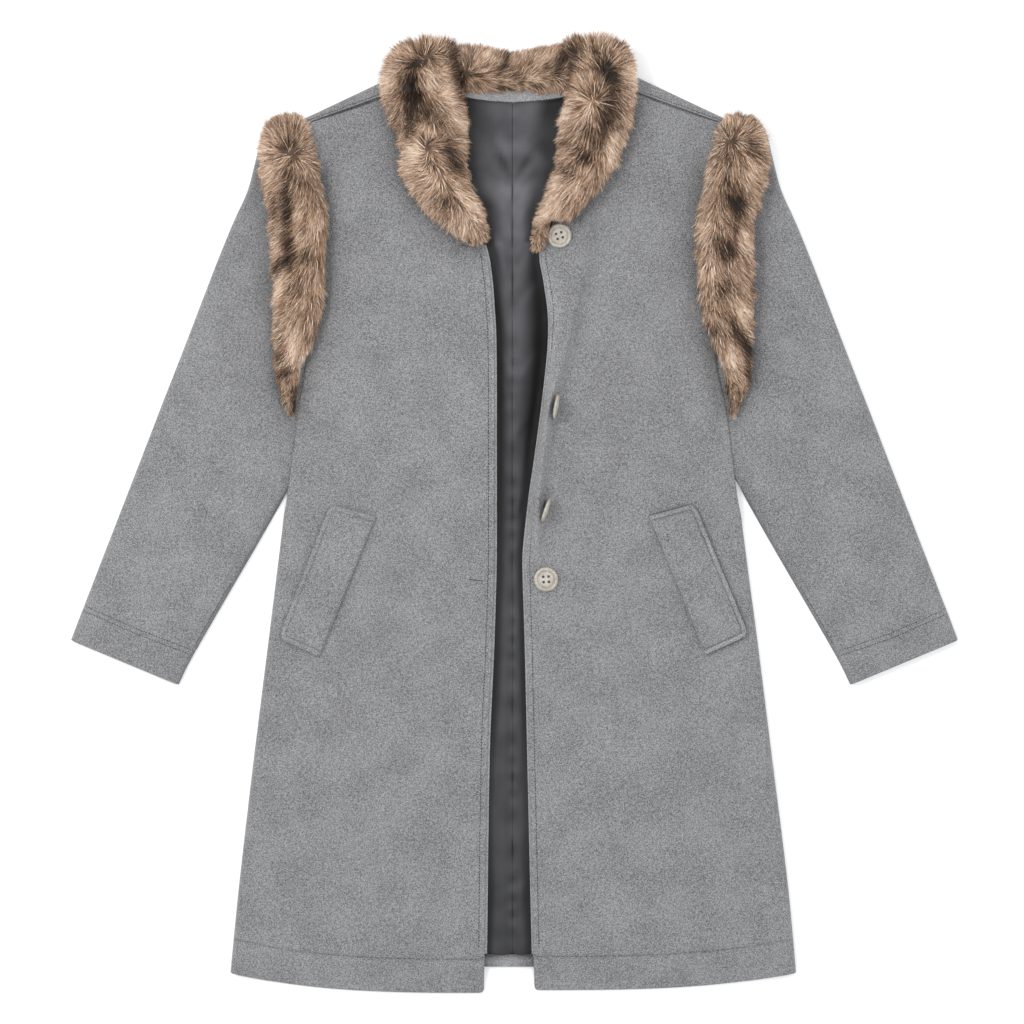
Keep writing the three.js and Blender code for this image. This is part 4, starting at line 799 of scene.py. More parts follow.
def lining_piece(side, material):
    y = np.linspace(LINING_HEM_Y, NECK_FACING["y"] - 2 * SEAM, LINING_ROWS)[:, None]
    outer = curve(FRONT_EDGE, side, np.minimum(y, LINING_TOP_Y)) + LINING_TUCK
    seam = SIGN[side] * LINING_SEAM_X + SATIN_GAP / 2
    across = mix(outer, seam, LINING_PARTS)
    lean = soft((y - LINING_LEAN["from"]) / LINING_LEAN["over"])
    spot_y = y + (neck_facing_y(across) - NECK_FACING["y"]) * lean
    edge = curve(FRONT_EDGE, side, spot_y) - LINING_SHOWS["from"]
    shown = soft((edge - across) / LINING_SHOWS["over"])
    x = SIGN[side] * across
    gap = np.abs(x - LINING_SEAM_X)
    swell = (LINING_SWELL["rise"] * soft(gap / LINING_SWELL["seam"])
             * soft((edge - across) / LINING_SWELL["edge"]))
    rise = (LINING_CREASE * strokes(CREASES["lining"], x, spot_y) + SEAM
            + ripples(x, spot_y, (0.35, 60, 31)) + puckers(PUCKER, y, gap) + swell)
    loose = mix(SEAM_SINK["least"], 1, soft(gap / SEAM_SINK["over"]))
    z = WOOL + SEAM + SATIN / 2 + np.maximum(0, rise) * shown * loose
    points = np.stack([x, spot_y, z], axis=2)

    # The satin's colour: painted shadow under the fronts' and the collar's edges, and painted highlights
    # and shade on its folds and puckers.
    fur = FUR[f"collar_{side}"]
    collar = np.interp(spot_y, fur["in_y"][::-1], np.abs(fur["in_x"][::-1]))
    edge = np.where(spot_y > COLLAR_SHADE_FROM_Y, np.minimum(edge, collar), edge)
    dark, reach = (curve(SATIN_PAINTED_LIGHT, f"{part}_{side}", spot_y) for part in ("dark", "reach"))
    at_edge, at_seam = curve(SATIN_PAINTED_LIGHT, "edge", spot_y), curve(SATIN_PAINTED_LIGHT, "seam", spot_y)
    tone = mix(at_edge, at_seam, soft((edge - across - dark) / reach))
    tone = tone + (strokes(SATIN_FOLD_PAINTED_LIGHT, x, spot_y) + puckers(PUCKER_PAINTED_LIGHT, y, gap)) * shown
    return make_object(f"satin_lining_{side}", *wall(points, SATIN), material,
                       {"tone": wall_values(np.maximum(tone, 0))})


def front_facing(side, material):
    y = np.linspace(FACING_HEM_Y, FACING_TOP_Y[side], 190)[:, None]
    edge = curve(FRONT_EDGE, side, y)
    across = edge + FACING_WIDTH[side] * np.linspace(1, 0, 7)
    z = UNDERSIDE + EDGE_LIFT - SEAM - FACING / 2 + 0 * across
    points = np.stack([SIGN[side] * across, y + 0 * across, z], axis=2)
    return make_object(f"wool_facing_{side}", *wall(points, FACING), material)


def neck_facing(material):
    reach = NECK_FACING["reach"]
    x = np.linspace(-reach, reach, 90)[None, :]
    low = neck_facing_y(x) + SEAM / 2
    y = mix(low, NECK_Y, np.linspace(0, 1, 12)[:, None])
    thickness = NECK_FACING["wall"]
    z = WOOL + SEAM + thickness / 2 + 0.25 + ripples(x, y, (0.25, 26, 12))
    points = np.stack([x + 0 * y, y, z], axis=2)
    return make_object("wool_neck_facing", *wall(points, thickness), material)


HEM_FACING_WAVE = {"fade": 8, "rise": 0.3, "length": 30, "seed": 14}
# The wool of the hem is darker in all, with painted shade at its ends by and under the fronts' edges and
# below the lining's edge.
HEM_FACING_PAINTED_SHADE = {"all": 0.14, "ends": 0.3, "fade": 20, "top": 0.5, "width": 3.5, "most": 0.8}


def hem_facing(material):
    left = curve(FRONT_EDGE, "left", BACK_HEM_Y)
    right = -curve(FRONT_EDGE, "right", BACK_HEM_Y)
    x = np.linspace(right - LINING_TUCK, left + LINING_TUCK, 50)[None, :]
    y = np.linspace(BACK_HEM_Y, LINING_HEM_Y - SEAM, 10)[:, None]

    def inside(fade):
        return soft((x - right) / fade) * soft((left - x) / fade)

    wave = HEM_FACING_WAVE["rise"] * (1 + ripple(x, y, HEM_FACING_WAVE["length"],
                                                 HEM_FACING_WAVE["seed"]))
    z = WOOL + SEAM + HEM_FACING / 2 + wave * inside(HEM_FACING_WAVE["fade"])
    points = np.stack([x + 0 * y, y + 0 * x, z], axis=2)
    # Painted shade at the ends and below the lining's edge.
    shade = HEM_FACING_PAINTED_SHADE
    pressed = (shade["all"] + shade["ends"] * (1 - inside(shade["fade"]))
               + shade["top"] * line_of(LINING_HEM_Y - SEAM - y, shade["width"]))
    return make_object("wool_hem_facing", *wall(points, HEM_FACING), material,
                       {"pressed": wall_values(np.minimum(pressed, shade["most"]))})


PLATE_EDGE = 0.35


def plain_plate(node, name, material):
    """A flat solid of the frame with rounded, smoothly shaded edges."""
    source = frame["nodes"][node]
    made = bpy.data.objects.new(name, source.data.copy())
    bpy.context.collection.objects.link(made)
    mesh = made.data
    merge_doubles(mesh)
    mesh.materials.clear()
    mesh.materials.append(material)
    round_edges(made, PLATE_EDGE, 50)
    mesh.shade_smooth()
    return bake_modifiers(made)


def round_edges(made, width, angle):
    """Rounds the edges that turn by more than the angle, in degrees."""
    bevel = made.modifiers.new("rounded edges", "BEVEL")
    bevel.width = width * MM
    bevel.segments = 2
    bevel.angle_limit = math.radians(angle)


def merge_doubles(mesh):
    work = bmesh.new()
    work.from_mesh(mesh)
    bmesh.ops.remove_doubles(work, verts=work.verts, dist=1e-6)
    work.to_mesh(mesh)
    work.free()


def bake_modifiers(made):
    """Turns the object's evaluated modifiers into its plain mesh."""
    depsgraph = bpy.context.evaluated_depsgraph_get()
    evaluated = made.evaluated_get(depsgraph)
    mesh = bpy.data.meshes.new_from_object(
        evaluated, preserve_all_data_layers=True, depsgraph=depsgraph)
    made.modifiers.clear()
    old = made.data
    made.data = mesh
    mesh.name = made.name
    bpy.data.meshes.remove(old)
    return made


# ---- Pocket welts --------------------------------------------------------------------------------


def welt_point(side, place, part):
    """A point of a welt: place along it, part across it from its outer edge."""
    corners = {name: np.array(xy, float) for name, xy in POCKETS[side].items()}
    length = np.linalg.norm(corners["outer_top"] - corners["outer_low"])
    width = np.linalg.norm(corners["outer_top"] - corners["inner_top"])
    from_end = np.minimum(place, 1 - place) * length
    cut = WELT_ROUND - np.minimum(WELT_ROUND, from_end)
    rounding = WELT_ROUND - np.sqrt(np.maximum(0, WELT_ROUND**2 - cut**2))
    outer = mix(corners["outer_top"], corners["outer_low"], place)
    inner = mix(corners["inner_top"], corners["inner_low"], place)
    outer = mix(outer, inner, rounding / width)
    return mix(outer, inner, part)


def welt_top(side, spot):
    return front_top(side, spot[0], spot[1]) + SEAM + WELT


WELT_CORNER = np.array([0, 0.03, 0.09, 0.18, 0.29, 0.42, 0.5, 0.56, 0.61, 0.68, 0.8, 1])
WELT_RIM = np.array([0, 0.01, 0.022, 0.04, 0.06, 0.085, 0.105, 0.117, 0.128, 0.14, 0.155, 0.18])
# Rims and grooves along a welt's edge: distance from it, rise or painted shade (negative for a painted
# highlight), and width.
WELT_RELIEF = [(3.2, 0.9, 1.9), (6.4, -0.85, 0.8)]
WELT_PAINTED_SHADING = [(0, 0.95, 1.3), (3.4, -0.2, 1.8), (6.3, 0.7, 0.8)]
WELT_PAD = 0.5                 # how far the field inside the groove stands up
# How much of the painted shading the welt's sides and underside take.
WELT_SIDE_SHADE = 0.35


def welt_piece(side, material):
    corner = WELT_CORNER * WELT_ROUND / WELT_LENGTH
    places = np.concatenate([corner, np.linspace(0.1, 0.9, 34), 1 - corner[::-1]])
    parts = np.concatenate([WELT_RIM, np.linspace(0.24, 1, 11)])
    points = np.empty((len(places), len(parts), 3))
    for i, place in enumerate(places):
        for j, part in enumerate(parts):
            spot = welt_point(side, place, part)
            points[i, j] = (SIGN[side] * spot[0], spot[1], welt_top(side, spot))
    from_end = np.minimum(places, 1 - places)[:, None] * WELT_LENGTH
    edge = np.minimum(from_end, parts * WELT_WIDTH)
    puff = along_edge(edge, WELT_RELIEF) + WELT_PAD * soft((edge - 6) / 2)
    points[..., 2] += WELT_LIFT - WELT / 2 + puff
    # Painted shadow at the welt's outer edge and in its groove, and a painted highlight on its rim.
    pressed = wall_values(along_edge(edge, WELT_PAINTED_SHADING), WELT_SIDE_SHADE)
    return make_object(f"wool_pocket_welt_{side}", *wall(points, WELT), material,
                       {"pressed": pressed})


# ---- Buttons -------------------------------------------------------------------------------------

BUTTON_PROFILE = [              # radius and height, from the back round the rim to the front
    (0, 0), (7, 0), (11.2, 0.05), (12.6, 0.5), (13.2, 1.2), (13.35, 1.9), (13.1, 2.6), (12.5, 3.2),
    (11.7, 3.55), (11.0, 3.6), (10.4, 3.5), (9.9, 2.9), (9.6, 2.1), (9.3, 1.9), (9.0, 2.1),
    (8.5, 2.4), (6, 2.36), (3, 2.32), (0, 2.3)]
BUTTON_HOLE = 1.5
HOLE_OFFSET = 2.95
HOLE_PROFILE = [(0, -3), (BUTTON_HOLE, -3), (BUTTON_HOLE, 6), (0, 6)]
THREAD_PROFILE = [(0, -1.1), (3.0, -1.1), (2.7, 0.6), (0, 0.6)]
HOLE_RIM = 0.22
SLOPE_STEP = 4                 # over this distance the cloth's slope under a button is taken


def left_top(across, y):
    return float(front_underside("left", across, y)) + WOOL


def button_place(button):
    """Matrix that sets a button, in millimetres, on the left front."""
    x, y = button["x"], button["y"]
    if "lean" in button:
        lean, heading = math.radians(button["lean"]), math.radians(button["heading"])
        face = Vector((math.sin(lean) * math.cos(heading), math.sin(lean) * math.sin(heading),
                       math.cos(lean)))
        place = Vector((x, y, button["z"])) - face * BUTTON_WALL / 2
    else:
        slope_x = (left_top(x - SLOPE_STEP, y) - left_top(x + SLOPE_STEP, y)) / (2 * SLOPE_STEP)
        slope_y = (left_top(x, y - SLOPE_STEP) - left_top(x, y + SLOPE_STEP)) / (2 * SLOPE_STEP)
        face = Vector((slope_x, slope_y, 1)).normalized()
        place = Vector((x, y, left_top(x, y))) + face * BUTTON_LIFT
    turn = Vector((0, 0, 1)).rotation_difference(face)
    turn = turn @ Quaternion((0, 0, 1), math.radians(button["spin"]))
    return Matrix.Translation(place) @ turn.to_matrix().to_4x4()


def lathe(profile, segments):
    """A turned solid from its profile of radii and heights, closed at both ends."""
    vertices = []
    for radius, height in profile[1:-1]:
        for k in range(segments):
            angle = math.tau * k / segments
            vertices.append((radius * math.cos(angle), radius * math.sin(angle), height))
    rings = len(profile) - 2
    faces = tube_faces(rings, segments)
    low, high = len(vertices), len(vertices) + 1
    vertices += [(0, 0, profile[0][1]), (0, 0, profile[-1][1])]
    last = (rings - 1) * segments
    for k in range(segments):
        faces.append((low, (k + 1) % segments, k))
        faces.append((high, last + k, last + (k + 1) % segments))
    return np.array(vertices, float), faces


def add_button(number, button, horn, thread):
    """A button with four drilled holes, and the thread below it."""
    disc = make_object(f"horn_button_{number}", *lathe(BUTTON_PROFILE, 64), horn)
    drill_points, drill_faces = [], []
    for sx, sy in ((1, 1), (1, -1), (-1, -1), (-1, 1)):
        ring, sides = lathe(HOLE_PROFILE, 16)
        first = len(drill_points)
        drill_points += (ring + (sx * HOLE_OFFSET, sy * HOLE_OFFSET, 0)).tolist()
        drill_faces += [tuple(first + k for k in face) for face in sides]
    drill = make_object("drill", drill_points, drill_faces, horn)
    cut = disc.modifiers.new("holes", "BOOLEAN")
    cut.operation = "DIFFERENCE"
    cut.object = drill
    cut.solver = "EXACT"
    round_edges(disc, HOLE_RIM, 60)
    bake_modifiers(disc)
    bpy.data.objects.remove(drill)
    disc.data.shade_smooth()
    stem = make_object(f"button_thread_{number}", *lathe(THREAD_PROFILE, 20), thread)
    matrix = button_place(button)
    for made in (disc, stem):
        made.data.transform(Matrix.Diagonal((1 / MM, 1 / MM, 1 / MM, 1)))
        made.data.transform(matrix)
        made.data.transform(Matrix.Diagonal((MM, MM, MM, 1)))
    dress(disc, [f"button_{number}"])
    dress(stem, [])


# ---- Repeats made by Geometry Nodes --------------------------------------------------------------


def tree_with_inputs(name, inputs):
    tree = bpy.data.node_groups.new(name, "GeometryNodeTree")
    tree.interface.new_socket("Geometry", in_out="INPUT", socket_type="NodeSocketGeometry")
    for label, kind in inputs:
        tree.interface.new_socket(label, in_out="INPUT", socket_type=f"NodeSocket{kind}")
    tree.interface.new_socket("Geometry", in_out="OUTPUT", socket_type="NodeSocketGeometry")
    return tree


def feed(tree, socket, given):
    """Links an input to another node's socket, or sets its value."""
    if isinstance(given, bpy.types.NodeSocket):
        tree.links.new(given, socket)
    else:
        socket.default_value = given


def add_node(tree, kind, settings=None, **inputs):
    """A node with its settings; inputs by name are values or another node's socket."""
    node = tree.nodes.new(kind)
    for label, setting in (settings or {}).items():
        setattr(node, label, setting)
    for label, given in inputs.items():
        label = label.replace("_", " ")
        feed(tree, next(s for s in node.inputs if s.name == label and s.enabled), given)
    return node


def out(node, name=None):
    return next(s for s in node.outputs if s.enabled and (name is None or s.name == name))


def calc(tree, how, *values):
    """A sum, product or the like of values; each is a socket or a number."""
    node = tree.nodes.new("ShaderNodeMath")
    node.operation = how
    for socket, given in zip(node.inputs, values):
        feed(tree, socket, given)
    return node.outputs[0]


def named(tree, name, kind="FLOAT"):
    return out(add_node(tree, "GeometryNodeInputNamedAttribute", {"data_type": kind}, Name=name),
               "Attribute")


def aligned(tree, up, run):
    """Rotation that turns Z to up and X as near to run as it can."""
    first = add_node(tree, "FunctionNodeAlignRotationToVector", {"axis": "Z"}, Vector=up)
    second = add_node(tree, "FunctionNodeAlignRotationToVector", {"axis": "X", "pivot_axis": "Z"},
                      Rotation=out(first), Vector=run)
    return out(second)


def stitch_tree():
    """A stitch on every point, lying along "run" with "up" above it."""
    tree = tree_with_inputs("Stitches", [("Stitch", "Object"), ("Material", "Material")])
    start = add_node(tree, "NodeGroupInput")
    points = add_node(tree, "GeometryNodeMeshToPoints", Mesh=out(start, "Geometry"))
    stitch = add_node(tree, "GeometryNodeObjectInfo", Object=out(start, "Stitch"))
    turn = aligned(tree, named(tree, "up", "FLOAT_VECTOR"), named(tree, "run", "FLOAT_VECTOR"))
    placed = add_node(tree, "GeometryNodeInstanceOnPoints", Points=out(points),
                      Instance=out(stitch, "Geometry"), Rotation=turn)
    real = add_node(tree, "GeometryNodeRealizeInstances", Geometry=out(placed))
    painted = add_node(tree, "GeometryNodeSetMaterial", Geometry=out(real),
                       Material=out(start, "Material"))
    end = tree.nodes.new("NodeGroupOutput")
    tree.links.new(out(painted), end.inputs[0])
    return tree


TUFT_SWAY = {"Min": (-0.2, -0.22, -0.2), "Max": (0.2, 0.12, 0.2)}
TUFT_SIZE = {"Min": 0.72, "Max": 1.22, "Seed": 7}


def fur_tree():
    """Tufts of hair scattered over a hide, combed along "comb", never below "bed"."""
    tree = tree_with_inputs("Fur", [("Tufts", "Collection"), ("Density", "Float"), ("Seed", "Int"),
                                    ("Hair", "Material")])
    start = add_node(tree, "NodeGroupInput")
    hide = out(start, "Geometry")
    grown = add_node(tree, "GeometryNodeDistributePointsOnFaces", Mesh=hide,
                     Density=calc(tree, "MULTIPLY", out(start, "Density"), named(tree, "growth")),
                     Seed=out(start, "Seed"))
    tint = add_node(tree, "FunctionNodeRandomValue", {"data_type": "FLOAT"}, Min=0.0, Max=1.0,
                    Seed=out(start, "Seed"))
    stored = add_node(tree, "GeometryNodeStoreNamedAttribute", {"data_type": "FLOAT"},
                      Geometry=out(grown, "Points"), Name="tint", Value=out(tint))
    turn = aligned(tree, out(grown, "Normal"), named(tree, "comb", "FLOAT_VECTOR"))
    sway = add_node(tree, "FunctionNodeRandomValue", {"data_type": "FLOAT_VECTOR"}, **TUFT_SWAY)
    turned = add_node(tree, "FunctionNodeRotateRotation", {"rotation_space": "LOCAL"},
                      Rotation=turn, Rotate_By=out(sway))
    size = add_node(tree, "FunctionNodeRandomValue", {"data_type": "FLOAT"}, **TUFT_SIZE)
    tufts = add_node(tree, "GeometryNodeCollectionInfo", Collection=out(start, "Tufts"),
                     Separate_Children=True, Reset_Children=True)
    placed = add_node(tree, "GeometryNodeInstanceOnPoints", Points=out(stored),
                      Instance=out(tufts, "Instances"), Pick_Instance=True, Rotation=out(turned),
                      Scale=calc(tree, "MULTIPLY", out(size), named(tree, "length")))
    real = add_node(tree, "GeometryNodeRealizeInstances", Geometry=out(placed))
    place = add_node(tree, "ShaderNodeSeparateXYZ",
                     Vector=out(add_node(tree, "GeometryNodeInputPosition")))
    raised = add_node(tree, "ShaderNodeCombineXYZ", X=out(place, "X"), Y=out(place, "Y"),
                      Z=calc(tree, "MAXIMUM", out(place, "Z"), named(tree, "bed")))
    laid = add_node(tree, "GeometryNodeSetPosition", Geometry=out(real), Position=out(raised))
    painted = add_node(tree, "GeometryNodeSetMaterial", Geometry=out(laid),
                       Material=out(start, "Hair"))
    both = tree.nodes.new("GeometryNodeJoinGeometry")
    tree.links.new(out(painted), both.inputs[0])
    tree.links.new(hide, both.inputs[0])
    end = tree.nodes.new("NodeGroupOutput")
    tree.links.new(out(both), end.inputs[0])
    return tree


def run_tree(made, tree, values):
    """Gives the object the tree with its inputs set by identifier, then bakes it."""
    modifier = made.modifiers.new(tree.name, "NODES")
    modifier.node_group = tree
    for socket in tree.interface.items_tree:
        if socket.in_out == "INPUT" and socket.name in values:
            modifier[socket.identifier] = values[socket.name]
    return bake_modifiers(made)


# ---- Materials -----------------------------------------------------------------------------------


def shader_group(name, inputs, outputs):
    tree = bpy.data.node_groups.new(name, "ShaderNodeTree")
    for label, kind, default in inputs:
        socket = tree.interface.new_socket(label, in_out="INPUT", socket_type=f"NodeSocket{kind}")
        socket.default_value = default
    for label, kind in outputs:
        tree.interface.new_socket(label, in_out="OUTPUT", socket_type=f"NodeSocket{kind}")
    return tree


def object_place(tree):
    return out(add_node(tree, "ShaderNodeTexCoord"), "Object")


def cloth_value(tree, label):
    """The value of a mesh's own attribute."""
    return out(add_node(tree, "ShaderNodeAttribute", {"attribute_name": label}), "Fac")


def noise(tree, place, scale, detail=2.0, roughness=0.5, distortion=0.0):
    return out(add_node(tree, "ShaderNodeTexNoise", None, Vector=place, Scale=scale, Detail=detail,
                        Roughness=roughness, Distortion=distortion), "Fac")


def diagonals(tree, place, scale, distortion, detail_scale):
    """Slanting lines, as of a twill or a twisted thread."""
    return out(add_node(tree, "ShaderNodeTexWave", {"bands_direction": "DIAGONAL"}, Vector=place,
                        Scale=scale, Distortion=distortion, Detail=1.0,
                        Detail_Scale=detail_scale), "Fac")


def ranged(tree, value, low, high, to_low=0.0, to_high=1.0):
    return out(add_node(tree, "ShaderNodeMapRange", {"interpolation_type": "SMOOTHSTEP"},
                        Value=value, From_Min=low, From_Max=high, To_Min=to_low,
                        To_Max=to_high), "Result")


def blend(tree, a, b, factor, how="MIX"):
    """Mix of two colours; each is a socket or a colour."""
    node = tree.nodes.new("ShaderNodeMix")
    node.data_type = "RGBA"
    node.blend_type = how
    for place, given in (("Factor", factor), (6, a), (7, b)):
        feed(tree, node.inputs[place], (*given, 1) if isinstance(given, tuple) else given)
    return node.outputs[2]


def napped_group():
    """Melton: a worm-like mottle of light and dark fibres, and the height of its nap."""
    tree = shader_group("Napped wool", [
        ("Dark", "Color", (0.2, 0.2, 0.2, 1)), ("Light", "Color", (0.4, 0.4, 0.4, 1)),
        ("Scale", "Float", 1.0)], [("Color", "Color"), ("Height", "Float")])
    start, end = tree.nodes.new("NodeGroupInput"), tree.nodes.new("NodeGroupOutput")
    place = out(add_node(tree, "ShaderNodeVectorMath", {"operation": "SCALE"},
                         Vector=object_place(tree), Scale=start.outputs["Scale"]), "Vector")
    worms = noise(tree, place, scale=900, detail=1.0, distortion=1.2)
    fine = noise(tree, place, scale=2000, detail=1.0, distortion=0.6)
    patch = noise(tree, place, scale=24, detail=1.0)
    mottle = calc(tree, "ADD", ranged(tree, worms, 0.36, 0.64, 0.0, 0.68),
                  ranged(tree, fine, 0.35, 0.65, 0.0, 0.28))
    mottle = calc(tree, "ADD", mottle, ranged(tree, patch, 0.3, 0.7, -0.05, 0.05))
    colour = blend(tree, start.outputs["Dark"], start.outputs["Light"], mottle)
    tree.links.new(colour, end.inputs["Color"])
    tree.links.new(calc(tree, "MULTIPLY_ADD", fine, 0.5, worms), end.inputs["Height"])
    return tree


def base_material(name, **sockets):
    material = bpy.data.materials.new(name)
    material.use_nodes = True
    shader = material.node_tree.nodes["Principled BSDF"]
    for label, value in sockets.items():
        shader.inputs[label.replace("_", " ")].default_value = value
    return material, material.node_tree, shader


def bump(tree, shader, height, strength, distance):
    node = add_node(tree, "ShaderNodeBump", None, Height=height, Strength=strength,
                    Distance=distance)
    tree.links.new(out(node, "Normal"), shader.inputs["Normal"])


def wool_material(name, group, dark, light):
    """Wool in two shades of nap, darkened by painted shade and lightened by painted highlights that the
    mesh carries.
    """
    material, tree, shader = base_material(name, Roughness=0.95, Sheen_Weight=0.22,
                                           Sheen_Roughness=0.55, Specular_IOR_Level=0.15)
    nap = add_node(tree, "ShaderNodeGroup", {"node_tree": group}, Dark=(*dark, 1),
                   Light=(*light, 1))
    shade = calc(tree, "SUBTRACT", 1.0, cloth_value(tree, "pressed"))
    colour = blend(tree, nap.outputs["Color"], shade, 1.0, "MULTIPLY")
    tree.links.new(colour, shader.inputs["Base Color"])
    bump(tree, shader, nap.outputs["Height"], strength=0.5, distance=0.0009)
    return material


# The satin in full painted shadow, and its greys at the brightest painted light.
SATIN_IN_PAINTED_SHADOW = (0.001, 0.001, 0.0011)
SATIN_GREYS = (0.125, 0.125, 0.135), (0.165, 0.165, 0.178)
BRIGHTEST_PAINTED_LIGHT = 3.0


def satin_material():
    """Satin from black, its painted shadow, to grey, its painted light, by a mesh attribute."""
    material, tree, shader = base_material("lining satin", Specular_IOR_Level=0.15,
                                           Sheen_Weight=0.04, Sheen_Roughness=0.4)
    place = object_place(tree)
    weave = diagonals(tree, place, scale=900.0, distortion=1.5, detail_scale=2.0)
    cloud = noise(tree, place, scale=30)
    bright = blend(tree, *SATIN_GREYS, ranged(tree, cloud, 0.35, 0.65))
    part = calc(tree, "DIVIDE", cloth_value(tree, "tone"), BRIGHTEST_PAINTED_LIGHT)
    tree.links.new(blend(tree, SATIN_IN_PAINTED_SHADOW, bright, part), shader.inputs["Base Color"])
    tree.links.new(ranged(tree, cloud, 0.3, 0.7, 0.46, 0.58), shader.inputs["Roughness"])
    bump(tree, shader, weave, strength=0.12, distance=0.00015)
    return material


HORN_COLOURS = (0.31, 0.275, 0.228), (0.44, 0.405, 0.355)
HORN_STREAK = (0.26, 0.225, 0.185)


def horn_material():
    material, tree, shader = base_material("button horn", Roughness=0.36, Coat_Weight=0.15,
                                           Specular_IOR_Level=0.5, Coat_Roughness=0.3)
    place = object_place(tree)
    cloud = noise(tree, place, scale=160, detail=3.0, roughness=0.55, distortion=1.2)
    streak = noise(tree, place, scale=700, distortion=2.0)
    streaked = calc(tree, "MULTIPLY", ranged(tree, streak, 0.5, 0.72), 0.35)
    colour = blend(tree, *HORN_COLOURS, ranged(tree, cloud, 0.3, 0.7))
    tree.links.new(blend(tree, colour, HORN_STREAK, streaked), shader.inputs["Base Color"])
    bump(tree, shader, streak, strength=0.1, distance=0.0002)
    return material


def thread_material(name, colour):
    material, tree, shader = base_material(name, Roughness=0.8, Sheen_Weight=0.2)
    twist = diagonals(tree, object_place(tree), scale=700.0, distortion=0.6, detail_scale=1.0)
    darker = tuple(0.6 * part for part in colour)
    tree.links.new(blend(tree, darker, colour, twist), shader.inputs["Base Color"])
    bump(tree, shader, twist, strength=0.4, distance=0.0002)
    return material


FUR_COLOURS = [                 # from the darkest hair to the palest
    (0.0, (0.02, 0.011, 0.006)), (0.25, (0.085, 0.047, 0.026)), (0.5, (0.3, 0.178, 0.106)),
    (0.75, (0.64, 0.44, 0.305)), (1.0, (0.9, 0.76, 0.63))]
TONE_WEIGHT = -0.62            # a higher tone of its place makes the fur darker
HAIR_LIGHTNESS, HIDE_LIGHTNESS = 0.51, 0.28
# Hairs darken towards their roots: partly the fur's own colour, partly painted shade deep in the fur.
HAIR_WEIGHTS = {"single": 0.54, "tint": 0.2, "along": 0.54}


def fur_material(name, hair):
    """Fur coloured by its place's "tone"; hairs also vary singly, by tuft and towards tips."""
    material, tree, shader = base_material(name, Roughness=0.5, Sheen_Weight=0.1,
                                           Sheen_Roughness=0.4, Specular_IOR_Level=0.35)
    lightness = calc(tree, "MULTIPLY_ADD", cloth_value(tree, "tone"), TONE_WEIGHT,
                     HAIR_LIGHTNESS if hair else HIDE_LIGHTNESS)
    if hair:
        for label, weight in HAIR_WEIGHTS.items():
            part = calc(tree, "MULTIPLY_ADD", cloth_value(tree, label), weight, -0.5 * weight)
            lightness = calc(tree, "ADD", lightness, part)
    ramp = tree.nodes.new("ShaderNodeValToRGB")
    stops = ramp.color_ramp.elements
    while len(stops) < len(FUR_COLOURS):
        stops.new(0.5)
    for stop, (place, colour) in zip(stops, FUR_COLOURS):
        stop.position = place
        stop.color = (*colour, 1)
    tree.links.new(lightness, ramp.inputs["Fac"])
    tree.links.new(ramp.outputs["Color"], shader.inputs["Base Color"])
    return material


# ---- Fur -----------------------------------------------------------------------------------------

